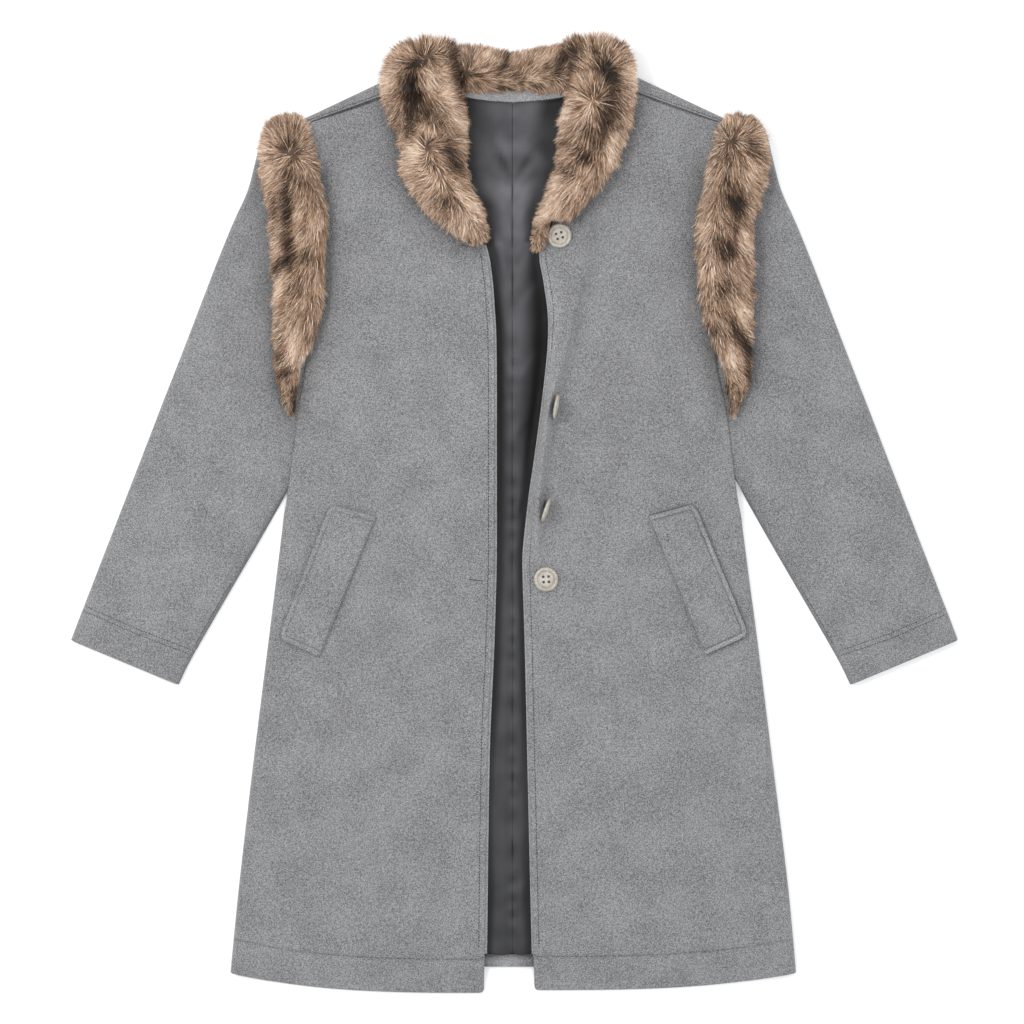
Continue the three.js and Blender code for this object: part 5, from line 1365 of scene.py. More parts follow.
# How the hair is combed: places, and the headings of its tips in degrees from +X.
COMBS = {
    "collar_right": table("x y heading", [
        (-82, 520, 88), (-100, 517, 100), (-66, 520, 70), (-118, 508, 125), (-130, 495, 150),
        (-137, 482, 175), (-142, 468, 190), (-140, 456, 205), (-133, 442, 215), (-133, 428, 200),
        (-126, 412, 205), (-104, 498, 120), (-112, 478, 255), (-113, 455, 262), (-114, 435, 262),
        (-116, 418, 255), (-100, 485, 300), (-98, 465, 300), (-98, 448, 295), (-104, 437, 225),
        (-92, 490, 290), (-82, 500, 75), (-78, 485, 50), (-70, 490, 5), (-66, 470, -10),
        (-83, 462, 70), (-74, 455, 20), (-60, 448, -5), (-55, 436, 0), (-50, 424, -10),
        (-52, 408, -38), (-84, 440, 290), (-78, 428, 300), (-92, 418, 100), (-102, 420, 130),
        (-84, 412, 50), (-72, 412, 20), (-62, 408, -30), (-112, 410, 178), (-116, 396, 180),
        (-117, 380, 188), (-104, 392, 170), (-102, 374, 190), (-106, 362, 208), (-98, 350, 218),
        (-92, 364, 205), (-86, 350, 225), (-82, 338, 238), (-72, 338, 245), (-68, 322, 252),
        (-58, 320, 262), (-56, 307, 268), (-46, 306, 285), (-84, 396, -20), (-72, 394, -45),
        (-60, 388, -50), (-76, 380, -30), (-62, 372, -50), (-68, 362, -30), (-54, 362, -48),
        (-56, 348, -28), (-44, 348, -22), (-44, 336, -20), (-34, 334, -18), (-36, 322, -32),
        (-28, 316, -42), (-28, 302, -55)]),
    "collar_left": table("x y heading", [
        (78, 521, 98), (95, 519, 78), (112, 513, 55), (124, 503, 35), (131, 490, 12),
        (133, 476, -5), (138, 464, -12), (133, 450, -35), (124, 434, -50), (118, 418, -52),
        (72, 508, 112), (85, 500, 95), (98, 500, 70), (112, 492, 25), (114, 476, -8),
        (112, 460, -42), (106, 470, -80), (90, 484, 120), (74, 488, 130), (66, 482, 168),
        (62, 468, 175), (76, 470, 118), (84, 462, 92), (94, 456, 60), (70, 455, 165),
        (58, 452, 190), (52, 440, 196), (46, 426, 198), (45, 414, 205), (50, 404, 215),
        (66, 440, 205), (62, 426, 208), (74, 434, 222), (80, 430, 245), (90, 436, -68),
        (98, 440, -55), (92, 424, -75), (80, 416, 255), (70, 414, 222), (102, 424, -60),
        (104, 410, -55), (112, 402, -52), (108, 388, -55), (98, 384, -70), (92, 398, 262),
        (80, 400, 246), (66, 400, 215), (56, 392, 205), (86, 384, 250), (74, 384, 240),
        (60, 380, 205), (50, 374, 190), (44, 362, 190), (60, 364, 215), (76, 366, 235),
        (90, 366, -92), (70, 352, 240), (56, 350, 222), (42, 350, 192), (80, 350, 258),
        (66, 336, 264), (54, 336, 245), (42, 336, 218), (33, 336, 202), (56, 326, 256),
        (42, 322, 220), (30, 322, 205), (24, 311, 195), (20, 304, 205), (24, 294, 240),
        (31, 309, 315), (28, 299, 300)]),
    "collar_back": table("x y heading", [
        (-52, 505, 95), (-57, 492, 115), (-46, 496, 80), (-38, 508, 75), (-36, 494, 60),
        (-40, 484, 30), (-26, 488, 35), (-24, 502, 55), (-14, 510, 75), (-10, 496, 50),
        (-14, 484, 40), (0, 505, 65), (2, 492, 60), (6, 480, 70), (14, 502, 50), (22, 490, 35),
        (30, 506, 50), (36, 494, 35), (46, 506, 65), (50, 494, 75), (16, 476, 20), (34, 480, 15),
        (-44, 474, -40), (-30, 472, -25), (-14, 471, -20), (4, 470, -70), (20, 470, -55),
        (32, 470, -48), (46, 470, -55), (-54, 474, -80)]),
    "trim_right": table("x y heading", [
        (-246, 436, 92), (-232, 436, 72), (-225, 424, 40), (-221, 408, -5), (-219, 392, -28),
        (-266, 428, 130), (-276, 412, 155), (-281, 395, 178), (-277, 380, 198), (-270, 368, 208),
        (-254, 410, 122), (-240, 410, 80), (-262, 400, 150), (-258, 386, 205), (-250, 384, 222),
        (-236, 398, 45), (-230, 388, -40), (-238, 376, 262), (-226, 370, 280), (-214, 358, 280),
        (-250, 362, 226), (-262, 360, 218), (-238, 355, 240), (-264, 335, 214), (-252, 335, 222),
        (-238, 330, 220), (-226, 336, 248), (-214, 340, 282), (-207, 322, -48), (-216, 318, 262),
        (-264, 310, 210), (-250, 308, 222), (-236, 308, 215), (-224, 300, 240), (-212, 298, 268),
        (-266, 286, 222), (-252, 282, 225), (-236, 282, 225), (-220, 276, 262), (-210, 276, 275),
        (-264, 262, 215), (-250, 258, 220), (-236, 256, 235), (-222, 254, 272), (-212, 246, -50),
        (-264, 238, 220), (-248, 236, 226), (-232, 232, 250), (-218, 228, 272), (-262, 214, 220),
        (-246, 212, 226), (-230, 208, 255), (-218, 200, -60), (-262, 190, 222), (-248, 190, 230),
        (-236, 186, 248), (-227, 184, 262), (-260, 166, 226), (-248, 164, 230), (-238, 160, 245),
        (-262, 144, 236), (-250, 144, 238), (-240, 142, 255), (-256, 126, 238), (-246, 122, 255),
        (-246, 112, 262)]),
    "trim_left": table("x y heading", [
        (232, 437, 105), (246, 438, 84), (260, 430, 55), (270, 416, 28), (277, 400, 5),
        (278, 388, -28), (274, 376, -35), (222, 424, 160), (217, 410, 205), (238, 420, 100),
        (252, 416, 50), (262, 404, -30), (250, 400, -42), (240, 396, -85), (228, 394, 245),
        (264, 390, -48), (212, 394, 218), (208, 378, 226), (220, 378, 245), (234, 374, 266),
        (246, 372, -62), (258, 370, -52), (266, 360, -35), (204, 358, 215), (216, 354, 248),
        (230, 350, -82), (242, 350, -75), (254, 348, -55), (262, 340, -32), (203, 336, 222),
        (214, 332, 245), (226, 332, -55), (240, 328, -70), (252, 324, -52), (260, 318, -35),
        (200, 312, 226), (212, 310, 242), (222, 306, -80), (234, 304, -62), (248, 302, -52),
        (258, 296, -55), (197, 292, 222), (208, 284, 252), (222, 280, -70), (236, 278, -60),
        (248, 276, -58), (259, 270, -32), (200, 264, 260), (212, 260, -85), (226, 258, -58),
        (240, 252, -60), (254, 250, -40), (204, 240, 246), (218, 238, -70), (232, 234, -58),
        (246, 230, -60), (257, 222, -42), (209, 216, 230), (222, 212, -60), (236, 208, -55),
        (250, 204, -58), (260, 194, -40), (213, 196, 262), (226, 188, -66), (240, 184, -52),
        (254, 178, -48), (224, 168, -75), (236, 164, -60), (250, 160, -48), (261, 154, -50),
        (230, 146, -72), (244, 142, -58), (256, 138, -60), (236, 126, -85), (246, 122, 250),
        (254, 126, 228), (242, 112, -85)]),
}
# Darker and paler places in the fur: strokes as for the creases; a negative rise is paler.
FUR_TONE = {
    "collar_right": table(STROKE_COLUMNS, [
        (-113, 484, -113, 434, 5.5, 1.2), (-113, 434, -117, 412, 6, 0.9),
        (-101, 498, -108, 488, 7, 0.5), (-107, 456, -100, 447, 5, 0.8),
        (-99, 441, -93, 431, 4.5, 1.0), (-90, 447, -89, 441, 2.5, 0.8),
        (-120, 478, -124, 446, 5, 0.35), (-67, 514, -61, 478, 4.5, 1.1),
        (-61, 480, -58, 452, 4, 0.8), (-73, 403, -68, 386, 7, 0.75), (-67, 386, -60, 370, 5.5, 0.9),
        (-83, 345, -72, 331, 6, 0.5), (-126, 512, -105, 525, 3, 0.5), (-70, 526, -60, 521, 3, 0.6),
        (-128, 442, -132, 412, 5, 0.35), (-99, 392, -88, 376, 1.4, 0.55),
        (-77, 365, -60, 342, 1.3, 0.5), (-93, 412, -93, 398, 1.7, 0.7),
        (-85, 430, -76, 420, 6, 0.3), (-113, 408, -108, 376, 9, -0.6),
        (-82, 476, -64, 440, 8, -0.45), (-58, 432, -51, 418, 6, -0.5),
        (-139, 482, -142, 462, 6, -0.5), (-134, 496, -130, 502, 6, -0.3),
        (-102, 416, -94, 416, 5, -0.45), (-91, 366, -80, 352, 6, -0.4),
        (-58, 352, -34, 324, 6, -0.5), (-56, 318, -48, 306, 6, -0.45), (-92, 468, -92, 454, 3, -0.6),
        (-78, 368, -42, 318, 1.5, -0.35), (-130, 430, -118, 424, 4, -0.3),
        (-100, 350, -92, 344, 4, -0.25)]),
    "collar_left": table(STROKE_COLUMNS, [
        (94, 489, 104, 481, 7, 1.1), (104, 481, 108, 464, 5.5, 1.1), (108, 464, 103, 440, 7, 0.65),
        (103, 440, 95, 404, 5.5, 0.85), (72, 389, 82, 384, 5.5, 1.0), (60, 375, 52, 378, 6, 0.6),
        (50, 406, 56, 401, 4.5, 0.55), (85, 510, 88, 499, 5, 0.35), (62, 510, 66, 499, 4.5, 1.1),
        (58, 497, 62, 484, 4.5, 1.0), (57, 482, 55, 468, 4, 0.7), (68, 521, 72, 510, 3.5, 0.55),
        (60, 525, 65, 526, 2.5, 0.7), (110, 517, 126, 507, 3, 0.5), (82, 421, 80, 411, 4.5, 0.5),
        (110, 441, 112, 424, 5, 0.35), (75, 398, 70, 392, 4.5, 0.4), (86, 412, 90, 400, 4, 0.45),
        (56, 447, 49, 424, 7, -0.55), (83, 450, 76, 431, 4, -0.55), (130, 487, 135, 458, 6, -0.55),
        (110, 411, 103, 379, 6, -0.6), (45, 366, 36, 330, 8, -0.45), (66, 358, 57, 349, 5, -0.4),
        (28, 324, 42, 329, 5, -0.45), (70, 486, 66, 470, 4.5, -0.3), (86, 515, 96, 515, 7, -0.2),
        (76, 372, 84, 362, 5, -0.3), (60, 388, 52, 386, 3, -0.35), (122, 432, 126, 422, 4, -0.35)]),
    "collar_back": table(STROKE_COLUMNS, [
        (-8, 511, -10, 489, 3.5, 0.65), (-10, 492, -19, 482, 3.5, 0.7),
        (-51, 481, -34, 481, 1.4, 0.9), (-52, 490, -49, 502, 3.5, 0.4), (55, 516, 53, 488, 4.5, 0.9),
        (48, 492, 44, 477, 4.5, 0.6), (15, 495, 19, 494, 2.5, 0.7), (29, 501, 26, 497, 3.5, 0.4),
        (36, 491, 33, 487, 2.5, 0.55), (-42, 473, -37, 468, 2.6, 0.7), (-20, 468, 0, 466, 1.8, 0.7),
        (20, 471, 29, 467, 2.3, 0.7), (-59, 480, -55, 468, 4.5, 0.9), (0, 485, 6, 475, 4, 0.4),
        (-36, 509, -25, 500, 5, -0.4), (41, 509, 20, 490, 5, -0.4), (14, 477, 36, 474, 3, -0.35),
        (-44, 488, -28, 484, 4, -0.25), (6, 508, 12, 498, 4, -0.25)]),
    "trim_right": table(STROKE_COLUMNS, [
        (-250, 347, -248, 308, 4.5, 1.15), (-251, 348, -246, 364, 3.5, 0.6),
        (-243, 380, -246, 366, 3.5, 0.45), (-250, 301, -246, 284, 5, 1.0),
        (-258, 271, -244, 276, 5, 1.15), (-266, 266, -262, 262, 4, 0.7), (-262, 341, -267, 324, 4, 0.6),
        (-236, 361, -224, 349, 6, 0.35), (-240, 412, -245, 399, 6, 0.4), (-237, 399, -234, 396, 2.5, 0.8),
        (-252, 395, -257, 399, 3.5, 0.45), (-231, 281, -224, 274, 5, 0.45),
        (-240, 263, -236, 238, 5, 0.35), (-255, 181, -263, 164, 4.5, 0.7),
        (-259, 152, -244, 156, 3.5, 0.9), (-263, 151, -258, 118, 4.5, 0.6),
        (-240, 141, -242, 118, 3.5, 0.7), (-247, 112, -243, 108, 4.5, 0.5),
        (-228, 330, -226, 318, 3, 0.4), (-232, 440, -225, 429, 6, -0.4),
        (-275, 412, -279, 384, 6, -0.4), (-264, 379, -271, 365, 5, -0.4),
        (-229, 329, -241, 317, 5, -0.45), (-214, 332, -218, 299, 6, -0.4),
        (-238, 305, -231, 295, 4, -0.35), (-264, 292, -260, 286, 4, -0.3),
        (-255, 256, -263, 234, 5, -0.5), (-214, 258, -216, 246, 4, -0.3),
        (-246, 197, -240, 164, 7, -0.55), (-227, 177, -238, 144, 4, -0.45)]),
    "trim_left": table(STROKE_COLUMNS, [
        (231, 346, 249, 335, 5, 1.15), (238, 336, 246, 321, 4.5, 1.0), (230, 364, 232, 358, 2.6, 0.9),
        (242, 356, 248, 344, 4, 0.8), (243, 321, 241, 299, 3.2, 0.6), (231, 296, 238, 282, 4.5, 1.15),
        (224, 286, 233, 277, 4, 0.9), (222, 301, 220, 289, 4, 0.5), (263, 400, 257, 406, 3.5, 0.8),
        (255, 396, 269, 387, 4, 0.7), (240, 414, 238, 404, 4.5, 0.35), (232, 396, 234, 380, 4.5, 0.35),
        (229, 251, 226, 239, 5, 0.65), (240, 246, 246, 240, 4, 0.4), (235, 211, 242, 200, 4, 0.7),
        (242, 197, 251, 187, 4.5, 1.0), (251, 186, 263, 171, 5, 1.1), (256, 166, 261, 140, 4.5, 0.7),
        (214, 206, 221, 199, 4.5, 0.6), (262, 252, 263, 238, 2.5, 0.6), (246, 127, 238, 114, 6, 0.3),
        (252, 118, 258, 112, 4, 0.6), (233, 141, 232, 120, 2.5, 0.6), (236, 438, 228, 430, 6, -0.4),
        (274, 421, 279, 397, 5, -0.35), (262, 387, 257, 360, 5, -0.5), (210, 382, 205, 340, 5, -0.3),
        (204, 322, 208, 299, 5, -0.4), (250, 312, 256, 284, 5, -0.5), (206, 272, 204, 250, 5, -0.45),
        (218, 271, 215, 257, 4, -0.4), (248, 232, 254, 204, 6, -0.55), (222, 177, 228, 151, 5, -0.5),
        (235, 182, 242, 154, 5, -0.55), (262, 156, 264, 145, 2.5, -0.4)]),
}
HIDE_INSET, HIDE_INSET_MOST = 6.5, 0.13   # of the hide inside the tips of the hair
HIDE_DROP, HIDE_LEAST = 10.5, 3.0         # of the hide below them, and its least height
HIDE_LIFT = 0.4
HIDE_SLANT = 0.28              # part of the width over which the cloth below it slopes
BED_LIFT = 0.5                 # of the lowest hairs above that cloth
COMB_DOWN = 1.1                # how far hair that leaves the roll sideways is combed down
SIDE_SHORTER = 0.3             # and how much shorter it is
GROWS = {"above": -0.42, "over": 0.4}     # sines of the angles round the roll
COMB_REACH, COMB_POWER = 8, 1.7           # how the table's headings are spread
# How much of the first and last parts of a roll only the hair reaches, in rows of its table.
FUR_ENDS = {"collar_right": (2.42, 1.05), "collar_left": (2.42, 0.2), "collar_back": (0, 0),
            "trim_right": (0.3, 0), "trim_left": (0.3, 0)}
FUR_ANGLES = np.radians(np.linspace(-32, 212, 23))
HIDE_SECTIONS = {"collar_right": 60, "collar_left": 60, "collar_back": 30, "trim_right": 60,
                 "trim_left": 60}
LONGEST_HAIR_OVER, SHORTEST_HAIR = 20, 0.45
TUFTS = {"collar_right": 6200, "collar_left": 5900, "collar_back": 2600, "trim_right": 5200,
         "trim_left": 5200}
BARE_BELOW = 1.8               # makes up for the points lost where the hide's underside grows none
FIRST_FUR_SEED = 11
TUFT_KINDS = 6
TONE_SPREAD = 1.25             # how much wider than in its table a stroke of tone is


def comb_field(x, y, rows):
    """Direction in which the tips of the hair point, smooth between the table's places."""
    far2 = (x[:, None] - rows["x"]) ** 2 + (y[:, None] - rows["y"]) ** 2
    weight = (far2 + COMB_REACH) ** -COMB_POWER
    heading = np.radians(rows["heading"])
    comb = unit(np.stack([weight @ np.cos(heading), weight @ np.sin(heading)], axis=-1))
    turn = ripples(x, y, (0.16, 22, 50), (0.14, 10, 51))
    return np.stack([comb[:, 0] * np.cos(turn) - comb[:, 1] * np.sin(turn),
                     comb[:, 0] * np.sin(turn) + comb[:, 1] * np.cos(turn)], axis=1)


def hide_piece(name, rows, material):
    """The hide under the hair: a roll inside the fur's outline, with the comb's attributes."""
    sections = HIDE_SECTIONS[name]
    count = len(rows["in_x"]) - 1
    row = between(rows, np.linspace(FUR_ENDS[name][0], count - FUR_ENDS[name][1], sections))
    inner = np.stack([row["in_x"], row["in_y"]], axis=1)
    outer = np.stack([row["out_x"], row["out_y"]], axis=1)
    width = np.linalg.norm(outer - inner, axis=1)
    share = np.minimum(HIDE_INSET / width, HIDE_INSET_MOST)[:, None]
    inner_share = share * (name != "collar_back")
    inner, outer = mix(inner, outer, inner_share), mix(outer, inner, share)
    height = np.maximum(row["height"] - HIDE_DROP, HIDE_LEAST)
    lump = 1 + ripples(inner[:, 0], inner[:, 1], (0.1, 28, 40))
    lift = math.sin(-FUR_ANGLES[0])
    radius = (height * lump / (1 + lift))[:, None]
    part = ((1 + np.cos(FUR_ANGLES)) / 2)[None, :, None]
    spot = mix(inner[:, None], outer[:, None], part)
    slant = np.clip(part[..., 0] / HIDE_SLANT, 0, 1)
    base = mix(row["low_in"][:, None], row["low"][:, None], slant)
    z = base + HIDE_LIFT + radius * (lift + np.sin(FUR_ANGLES))
    vertices = np.concatenate([spot, z[..., None]], axis=2)

    size = len(FUR_ANGLES)
    faces = tube_faces(sections, size)
    hub = sections * size
    for k in range(size):
        b = (k + 1) % size
        faces.append((b, k, hub))
        faces.append((hub - size + k, hub - size + b, hub + 1))
    ends = [vertices[0].mean(axis=0), vertices[-1].mean(axis=0)]
    flat = np.concatenate([vertices.reshape(-1, 3), ends])
    faces = turned_out(flat, faces)

    bed = np.append(base, [row["low_in"][0], row["low_in"][-1]]) + BED_LIFT
    x, y = flat[:, 0], flat[:, 1]
    angles = np.append(np.tile(FUR_ANGLES, sections), [0, 0])
    upward, sideways = np.sin(angles), np.cos(angles)
    outward = np.concatenate([np.repeat(unit(outer - inner), size, axis=0),
                              unit(inner[[0, -1]] - inner[[1, -2]])])
    comb = comb_field(x, y, COMBS[name])
    facing = np.maximum((comb * outward).sum(axis=1) * sideways, 0)
    comb = np.column_stack([comb, -COMB_DOWN * facing])
    growth = soft((upward - GROWS["above"]) / GROWS["over"])
    tall = np.clip(height / LONGEST_HAIR_OVER, SHORTEST_HAIR, 1)
    tip = np.append(np.repeat(tall, size), [SHORTEST_HAIR, SHORTEST_HAIR])
    tip = tip * (1 + ripples(x, y, (0.1, 20, 71), (0.14, 8, 72))) * (1 - SIDE_SHORTER * facing)
    attributes = {"comb": comb, "growth": growth, "length": tip, "bed": bed * MM}
    return make_object(f"{name}_fur", flat, faces, material, attributes)


HAIRS = 8                      # in each tuft
HAIR = {"length": (12, 20), "root": (-2.0, 2.0), "rise": (0.35, 0.75), "bend": (0.5, 1.0),
        "roll": (-0.7, 0.7)}
HAIR_WIDTHS = [0.5, 0.62, 0.8, 1.0]
HAIR_SHADES = [0.05, 0.2, 0.35, 0.45, 0.5, 0.6, 0.8, 1.15]
ROOT_DEPTH = 0.8
HAIR_CUTS = (0.0, 0.55, 1.0)   # parts of a hair's length at which it bends


def hair_tuft(seed):
    """Bent, tapering hairs that lean along X and gather towards their tips."""
    random = np.random.default_rng(seed)
    vertices, faces, along, single = [], [], [], []
    for _ in range(HAIRS):
        length = random.uniform(*HAIR["length"])
        root = np.array([random.uniform(*HAIR["root"]), random.uniform(*HAIR["root"]),
                         -ROOT_DEPTH])
        rise = random.uniform(*HAIR["rise"])
        bend = random.uniform(*HAIR["bend"])
        side = random.normal(0, 0.09) - 0.5 * root[1] / length
        roll = random.uniform(*HAIR["roll"])
        width = random.choice(HAIR_WIDTHS)
        shade = random.choice(HAIR_SHADES)
        first = len(vertices)
        for t in HAIR_CUTS:
            angle = rise - bend * t * 0.75
            ahead = length * t * math.cos(rise - bend * t * 0.4)
            up = length * (t * math.sin(rise) - 0.45 * bend * t * t)
            middle = root + (ahead, side * length * t * t, max(up, 0.2 * t))
            swing = np.array([-math.sin(angle) * math.sin(roll), math.cos(roll),
                              math.cos(angle) * math.sin(roll)]) * width * (1 - 0.4 * t) / 2
            made = [middle] if t == 1.0 else [middle - swing, middle + swing]
            vertices += made
            along += [t] * len(made)
            single += [shade] * len(made)
        faces += [(first, first + 1, first + 3, first + 2), (first + 2, first + 3, first + 4)]
    return vertices, faces, {"along": along, "single": single}


def set_tone(piece, rows):
    """Gives every point of the fur its place's tone."""
    mesh = piece.data
    places = np.empty(3 * len(mesh.vertices))
    mesh.vertices.foreach_get("co", places)
    x, y = places[0::3] / MM, places[1::3] / MM
    tone = strokes(dict(rows, width=TONE_SPREAD * rows["width"]), x, y)
    tone = tone + ripples(x, y, (0.1, 18, 61), (0.1, 7, 62))
    mesh.attributes.new("tone", "FLOAT", "POINT").data.foreach_set("value", tone)


def add_fur(hide, hair):
    tufts = bpy.data.collections.new("tufts")
    for seed in range(TUFT_KINDS):
        vertices, faces, attributes = hair_tuft(seed)
        made = make_object(f"tuft_{seed}", vertices, faces, hair, attributes)
        bpy.context.collection.objects.unlink(made)
        tufts.objects.link(made)
    tree = fur_tree()
    for number, (name, rows) in enumerate(FUR.items()):
        piece = hide_piece(name, rows, hide)
        area = sum(polygon.area for polygon in piece.data.polygons)
        run_tree(piece, tree, {"Tufts": tufts, "Density": TUFTS[name] / area * BARE_BELOW,
                               "Seed": FIRST_FUR_SEED + number, "Hair": hair})
        set_tone(piece, FUR_TONE[name])
        dress(piece, [f"fur_{name}"])
    for made in list(tufts.objects):
        bpy.data.objects.remove(made)
    bpy.data.collections.remove(tufts)


# ---- Stitches ------------------------------------------------------------------------------------

STITCH_LENGTH, STITCH_WIDTH = 2.4, 1.0
STITCH_SINK, FINE_SINK = 0.12, 0.05       # of the stitches into the cloth
STITCH_SECTIONS = ((-0.5, 0.25), (-0.38, 0.8), (0, 1.0), (0.38, 0.8), (0.5, 0.25))


def stitch_shape(material):
    """One stitch: a low capsule lying along X, half sunk into the cloth."""
    ring = 6
    vertices = []
    for place, part in STITCH_SECTIONS:
        for k in range(ring):
            angle = math.tau * k / ring
            vertices.append((place * STITCH_LENGTH, part * STITCH_WIDTH / 2 * math.cos(angle),
                             part * STITCH_WIDTH * 0.4 * math.sin(angle)))
    faces = tube_faces(len(STITCH_SECTIONS), ring)
    faces.append(tuple(range(ring - 1, -1, -1)))
    faces.append(tuple(range(len(vertices) - ring, len(vertices))))
    made = make_object("stitch", vertices, [face[::-1] for face in faces], material)
    bpy.context.collection.objects.unlink(made)
    return made


def spaced(path, pitch):
    """Points along a path at an even pitch, with the directions between them."""
    path = np.array(path, float)
    steps = np.linalg.norm(np.diff(path, axis=0), axis=1)
    length = np.concatenate([[0], np.cumsum(steps)])
    places = np.arange(pitch / 2, length[-1], pitch)

    def at(distance):
        return np.stack([np.interp(distance, length, column) for column in path.T], axis=1)

    return at(places), unit(at(places + 0.5) - at(places - 0.5))


def stitches(name, paths, pitch, shape, tree, material):
    """Stitches along paths of x, y, z points, in one piece."""
    spots, runs = (np.concatenate(part) for part in zip(*(spaced(path, pitch) for path in paths)))
    ups = np.tile((0.0, 0.0, 1.0), (len(spots), 1))
    made = make_object(name, spots, [], material, {"run": runs, "up": ups})
    run_tree(made, tree, {"Stitch": shape, "Material": material})
    made.data.shade_smooth()
    return dress(made, [])


def laid_on(pieces, path, sink=STITCH_SINK):
    """The path with the height of the topmost of the pieces under each of its points."""
    trees = [BVHTree.FromPolygons([v.co for v in piece.data.vertices],
                                  [tuple(face.vertices) for face in piece.data.polygons])
             for piece in pieces]
    points = []
    for x, y in path:
        above = Vector((x * MM, y * MM, 0.2))
        hits = [tree.ray_cast(above, Vector((0, 0, -1)))[0] for tree in trees]
        heights = [hit.z / MM for hit in hits if hit]
        if heights:
            points.append((x, y, max(heights) - sink))
    return points


def along_line(places, count):
    """Points evenly spread along a line through the given places."""
    places = np.array(places, float)
    at = np.linspace(0, len(places) - 1, count)
    return np.stack([np.interp(at, range(len(places)), places[:, k]) for k in (0, 1)], axis=1)


def on_front(side, path):
    """The path with the height of the front under each of its points."""
    path = np.array(path, float)
    across = SIGN[side] * path[:, 0]
    return np.column_stack([path, front_top(side, across, path[:, 1])])


# Lines of sewing on the sleeves' cuffs, across the shoulders and round the buttonholes.
SEWING = {
    "cuff_stitch_right": [[(-472, -102), (-413, -128), (-352.6, -151)],
                          [(-474, -107), (-415, -133), (-355, -156)],
                          [(-312, -76), (-351, -143)]],
    "cuff_stitch_left": [[(477, -104), (416, -131), (353.7, -152.5)],
                         [(479, -109), (418, -136), (356, -157.5)],
                         [(314, -80), (333, -112), (350.4, -143.6)]],
    "shoulder_stitch_right": [[(-233, 430.5), (-190, 446), (-149, 461)]],
    "shoulder_stitch_left": [[(233, 430.5), (190, 446), (149, 461)]],
    "neck_stitch": [[(-58, 455), (-50, 457.2), (-30, 454.3), (0, 452.9), (30, 455), (50, 458),
                     (56, 459.5)]],
}
BUTTONHOLES = [[(-59, 295.6), (-44, 292.2)], [(-49, -72.6), (-35, -74.4)]]
EDGE_STITCH_Y = np.linspace(-478, 288, 260)
HEM_STITCH_ACROSS = np.linspace(40, 296, 90)
# Distance between stitches along each kind of seam.
PITCH = {"seam": 3.0, "buttonhole": 1.3, "edge": 3.3, "welt": 2.7, "hem": 5.2}
EDGE_INSET = {"right": 6.6, "left": 6.2, "fold": 2.6, "top": 2.5}
# The welt's stitches, as parts of its length and width: up one end, along the edge, down the other.
WELT_ENDS, WELT_EDGE = (0.04, 0.96), 0.125
WELT_ACROSS, WELT_ALONG = np.linspace(0.98, 0.16, 12), np.linspace(0.075, 0.925, 40)


def edge_inset(side, y):
    """Distance of the topstitching from the front's edge; on the left it follows the fold."""
    if side == "right":
        return EDGE_INSET["right"]
    at_fold, at_top = soft((y - 30) / 60), soft((y - 180) / 60)
    return mix(EDGE_INSET["left"], EDGE_INSET["fold"], at_fold) + EDGE_INSET["top"] * at_top


def welt_line(side):
    """The stitches round three sides of a welt."""
    spots = ([welt_point(side, WELT_ENDS[0], part) for part in WELT_ACROSS]
             + [welt_point(side, place, WELT_EDGE) for place in WELT_ALONG]
             + [welt_point(side, WELT_ENDS[1], part) for part in WELT_ACROSS[::-1]])
    return [(SIGN[side] * spot[0], spot[1], float(welt_top(side, spot)) - FINE_SINK)
            for spot in spots]


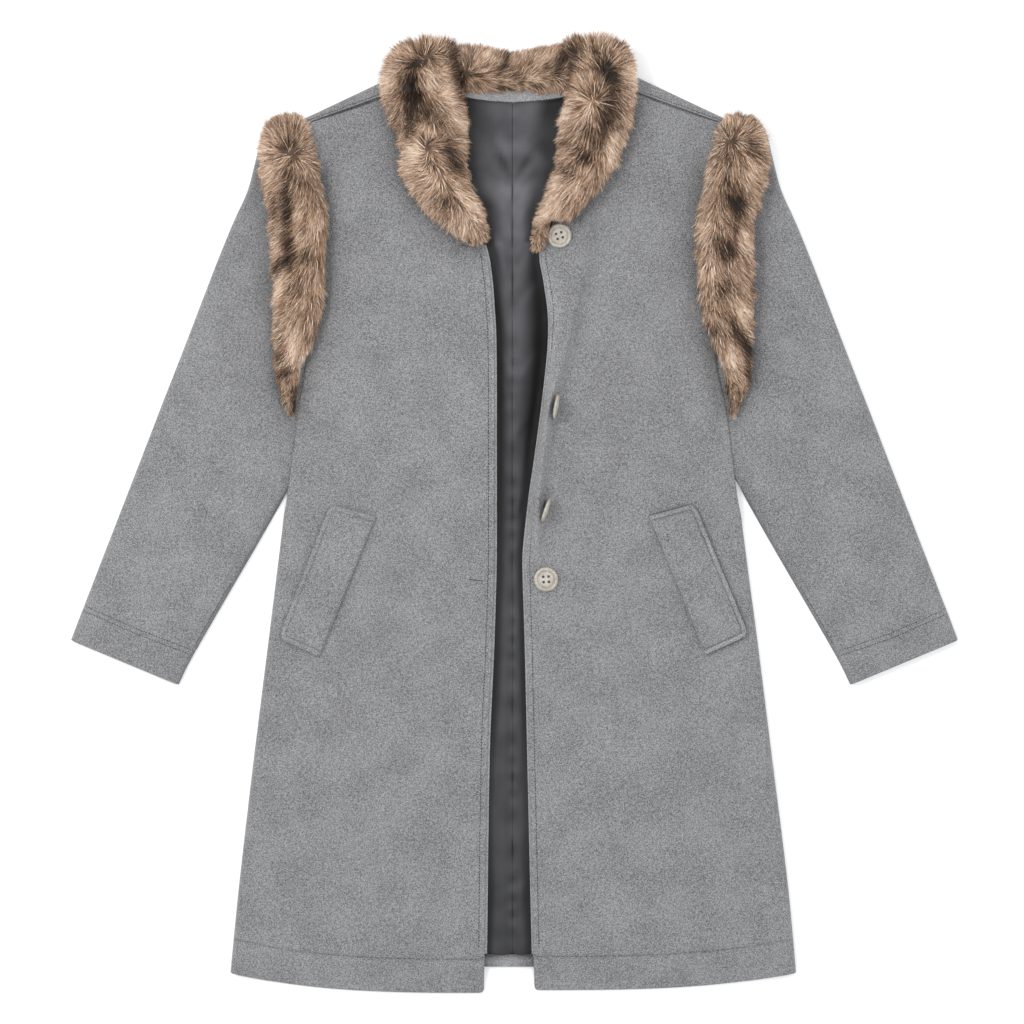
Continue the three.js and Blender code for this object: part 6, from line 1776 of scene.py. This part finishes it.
def add_stitches(thread, cloths):
    tree = stitch_tree()
    small = stitch_shape(thread)
    for name, lines in SEWING.items():
        paths = [laid_on(cloths, along_line(line, 60)) for line in lines]
        stitches(name, paths, PITCH["seam"], small, tree, thread)
    slits = [laid_on(cloths, along_line(hole, 12), FINE_SINK) for hole in BUTTONHOLES]
    stitches("buttonhole_stitch", slits, PITCH["buttonhole"], small, tree, thread)
    for side in SIDES:
        y = EDGE_STITCH_Y
        across = curve(FRONT_EDGE, side, y) + BAND[side] + edge_inset(side, y)
        edge = on_front(side, np.column_stack([SIGN[side] * across, y]))
        hem_line = hem_y(side, HEM_STITCH_ACROSS) + HEM_DEPTH
        hem = on_front(side, np.column_stack([SIGN[side] * HEM_STITCH_ACROSS, hem_line]))
        hem[:, 2] -= 0.1
        stitches(f"topstitch_{side}", [edge], PITCH["edge"], small, tree, thread)
        stitches(f"welt_stitch_{side}", [welt_line(side)], PITCH["welt"], small, tree, thread)
        stitches(f"hem_stitch_{side}", [hem], PITCH["hem"], small, tree, thread)
    bpy.data.objects.remove(small)


# ---- The coat ------------------------------------------------------------------------------------


WOOL_GREYS = (0.058, 0.058, 0.06), (0.352, 0.352, 0.359)
FACING_GREYS = (0.11, 0.11, 0.113), (0.44, 0.44, 0.448)
# The thread is near black: its own grey with painted shade of the grooves and holes it lies in.
THREAD_GREY_WITH_PAINTED_SHADE = (0.02, 0.02, 0.021)


def build():
    nap = napped_group()
    wool = wool_material("grey wool", nap, *WOOL_GREYS)
    facing = wool_material("facing wool", nap, *FACING_GREYS)
    satin = satin_material()
    horn = horn_material()
    thread = thread_material("grey thread", THREAD_GREY_WITH_PAINTED_SHADE)
    hide = fur_material("fur hide", False)
    hair = fur_material("fur hair", True)

    back = dress(plain_plate("back_panel", "wool_back", wool), ["back_panel"])
    cloths = [back]
    for side in SIDES:
        under = plain_plate(f"sleeve_under_{side}", f"wool_sleeve_under_{side}", wool)
        dress(under, [f"sleeve_under_{side}"])
        upper = dress(sleeve_upper(side, wool), [f"sleeve_upper_{side}"])
        front = dress(front_piece(side, wool), [f"front_{side}"])
        cloths += [upper, front]
        lining = dress(lining_piece(side, satin), [f"lining_{side}"])
        edge = dress(front_facing(side, facing), [f"facing_{side}"])
        welt = dress(welt_piece(side, wool), [f"pocket_welt_{side}"])
    neck = dress(neck_facing(facing), ["neck_facing"])
    cloths.append(neck)
    hem = dress(hem_facing(facing), ["hem_facing"])
    for number, button in enumerate(BUTTONS, 1):
        add_button(number, button, horn, thread)
    add_stitches(thread, cloths)
    add_fur(hide, hair)


add_camera()
add_sky()
for light in LIGHTS:
    add_light(*light)
add_floor()
bpy.context.scene.view_settings.view_transform = "Standard"
build()
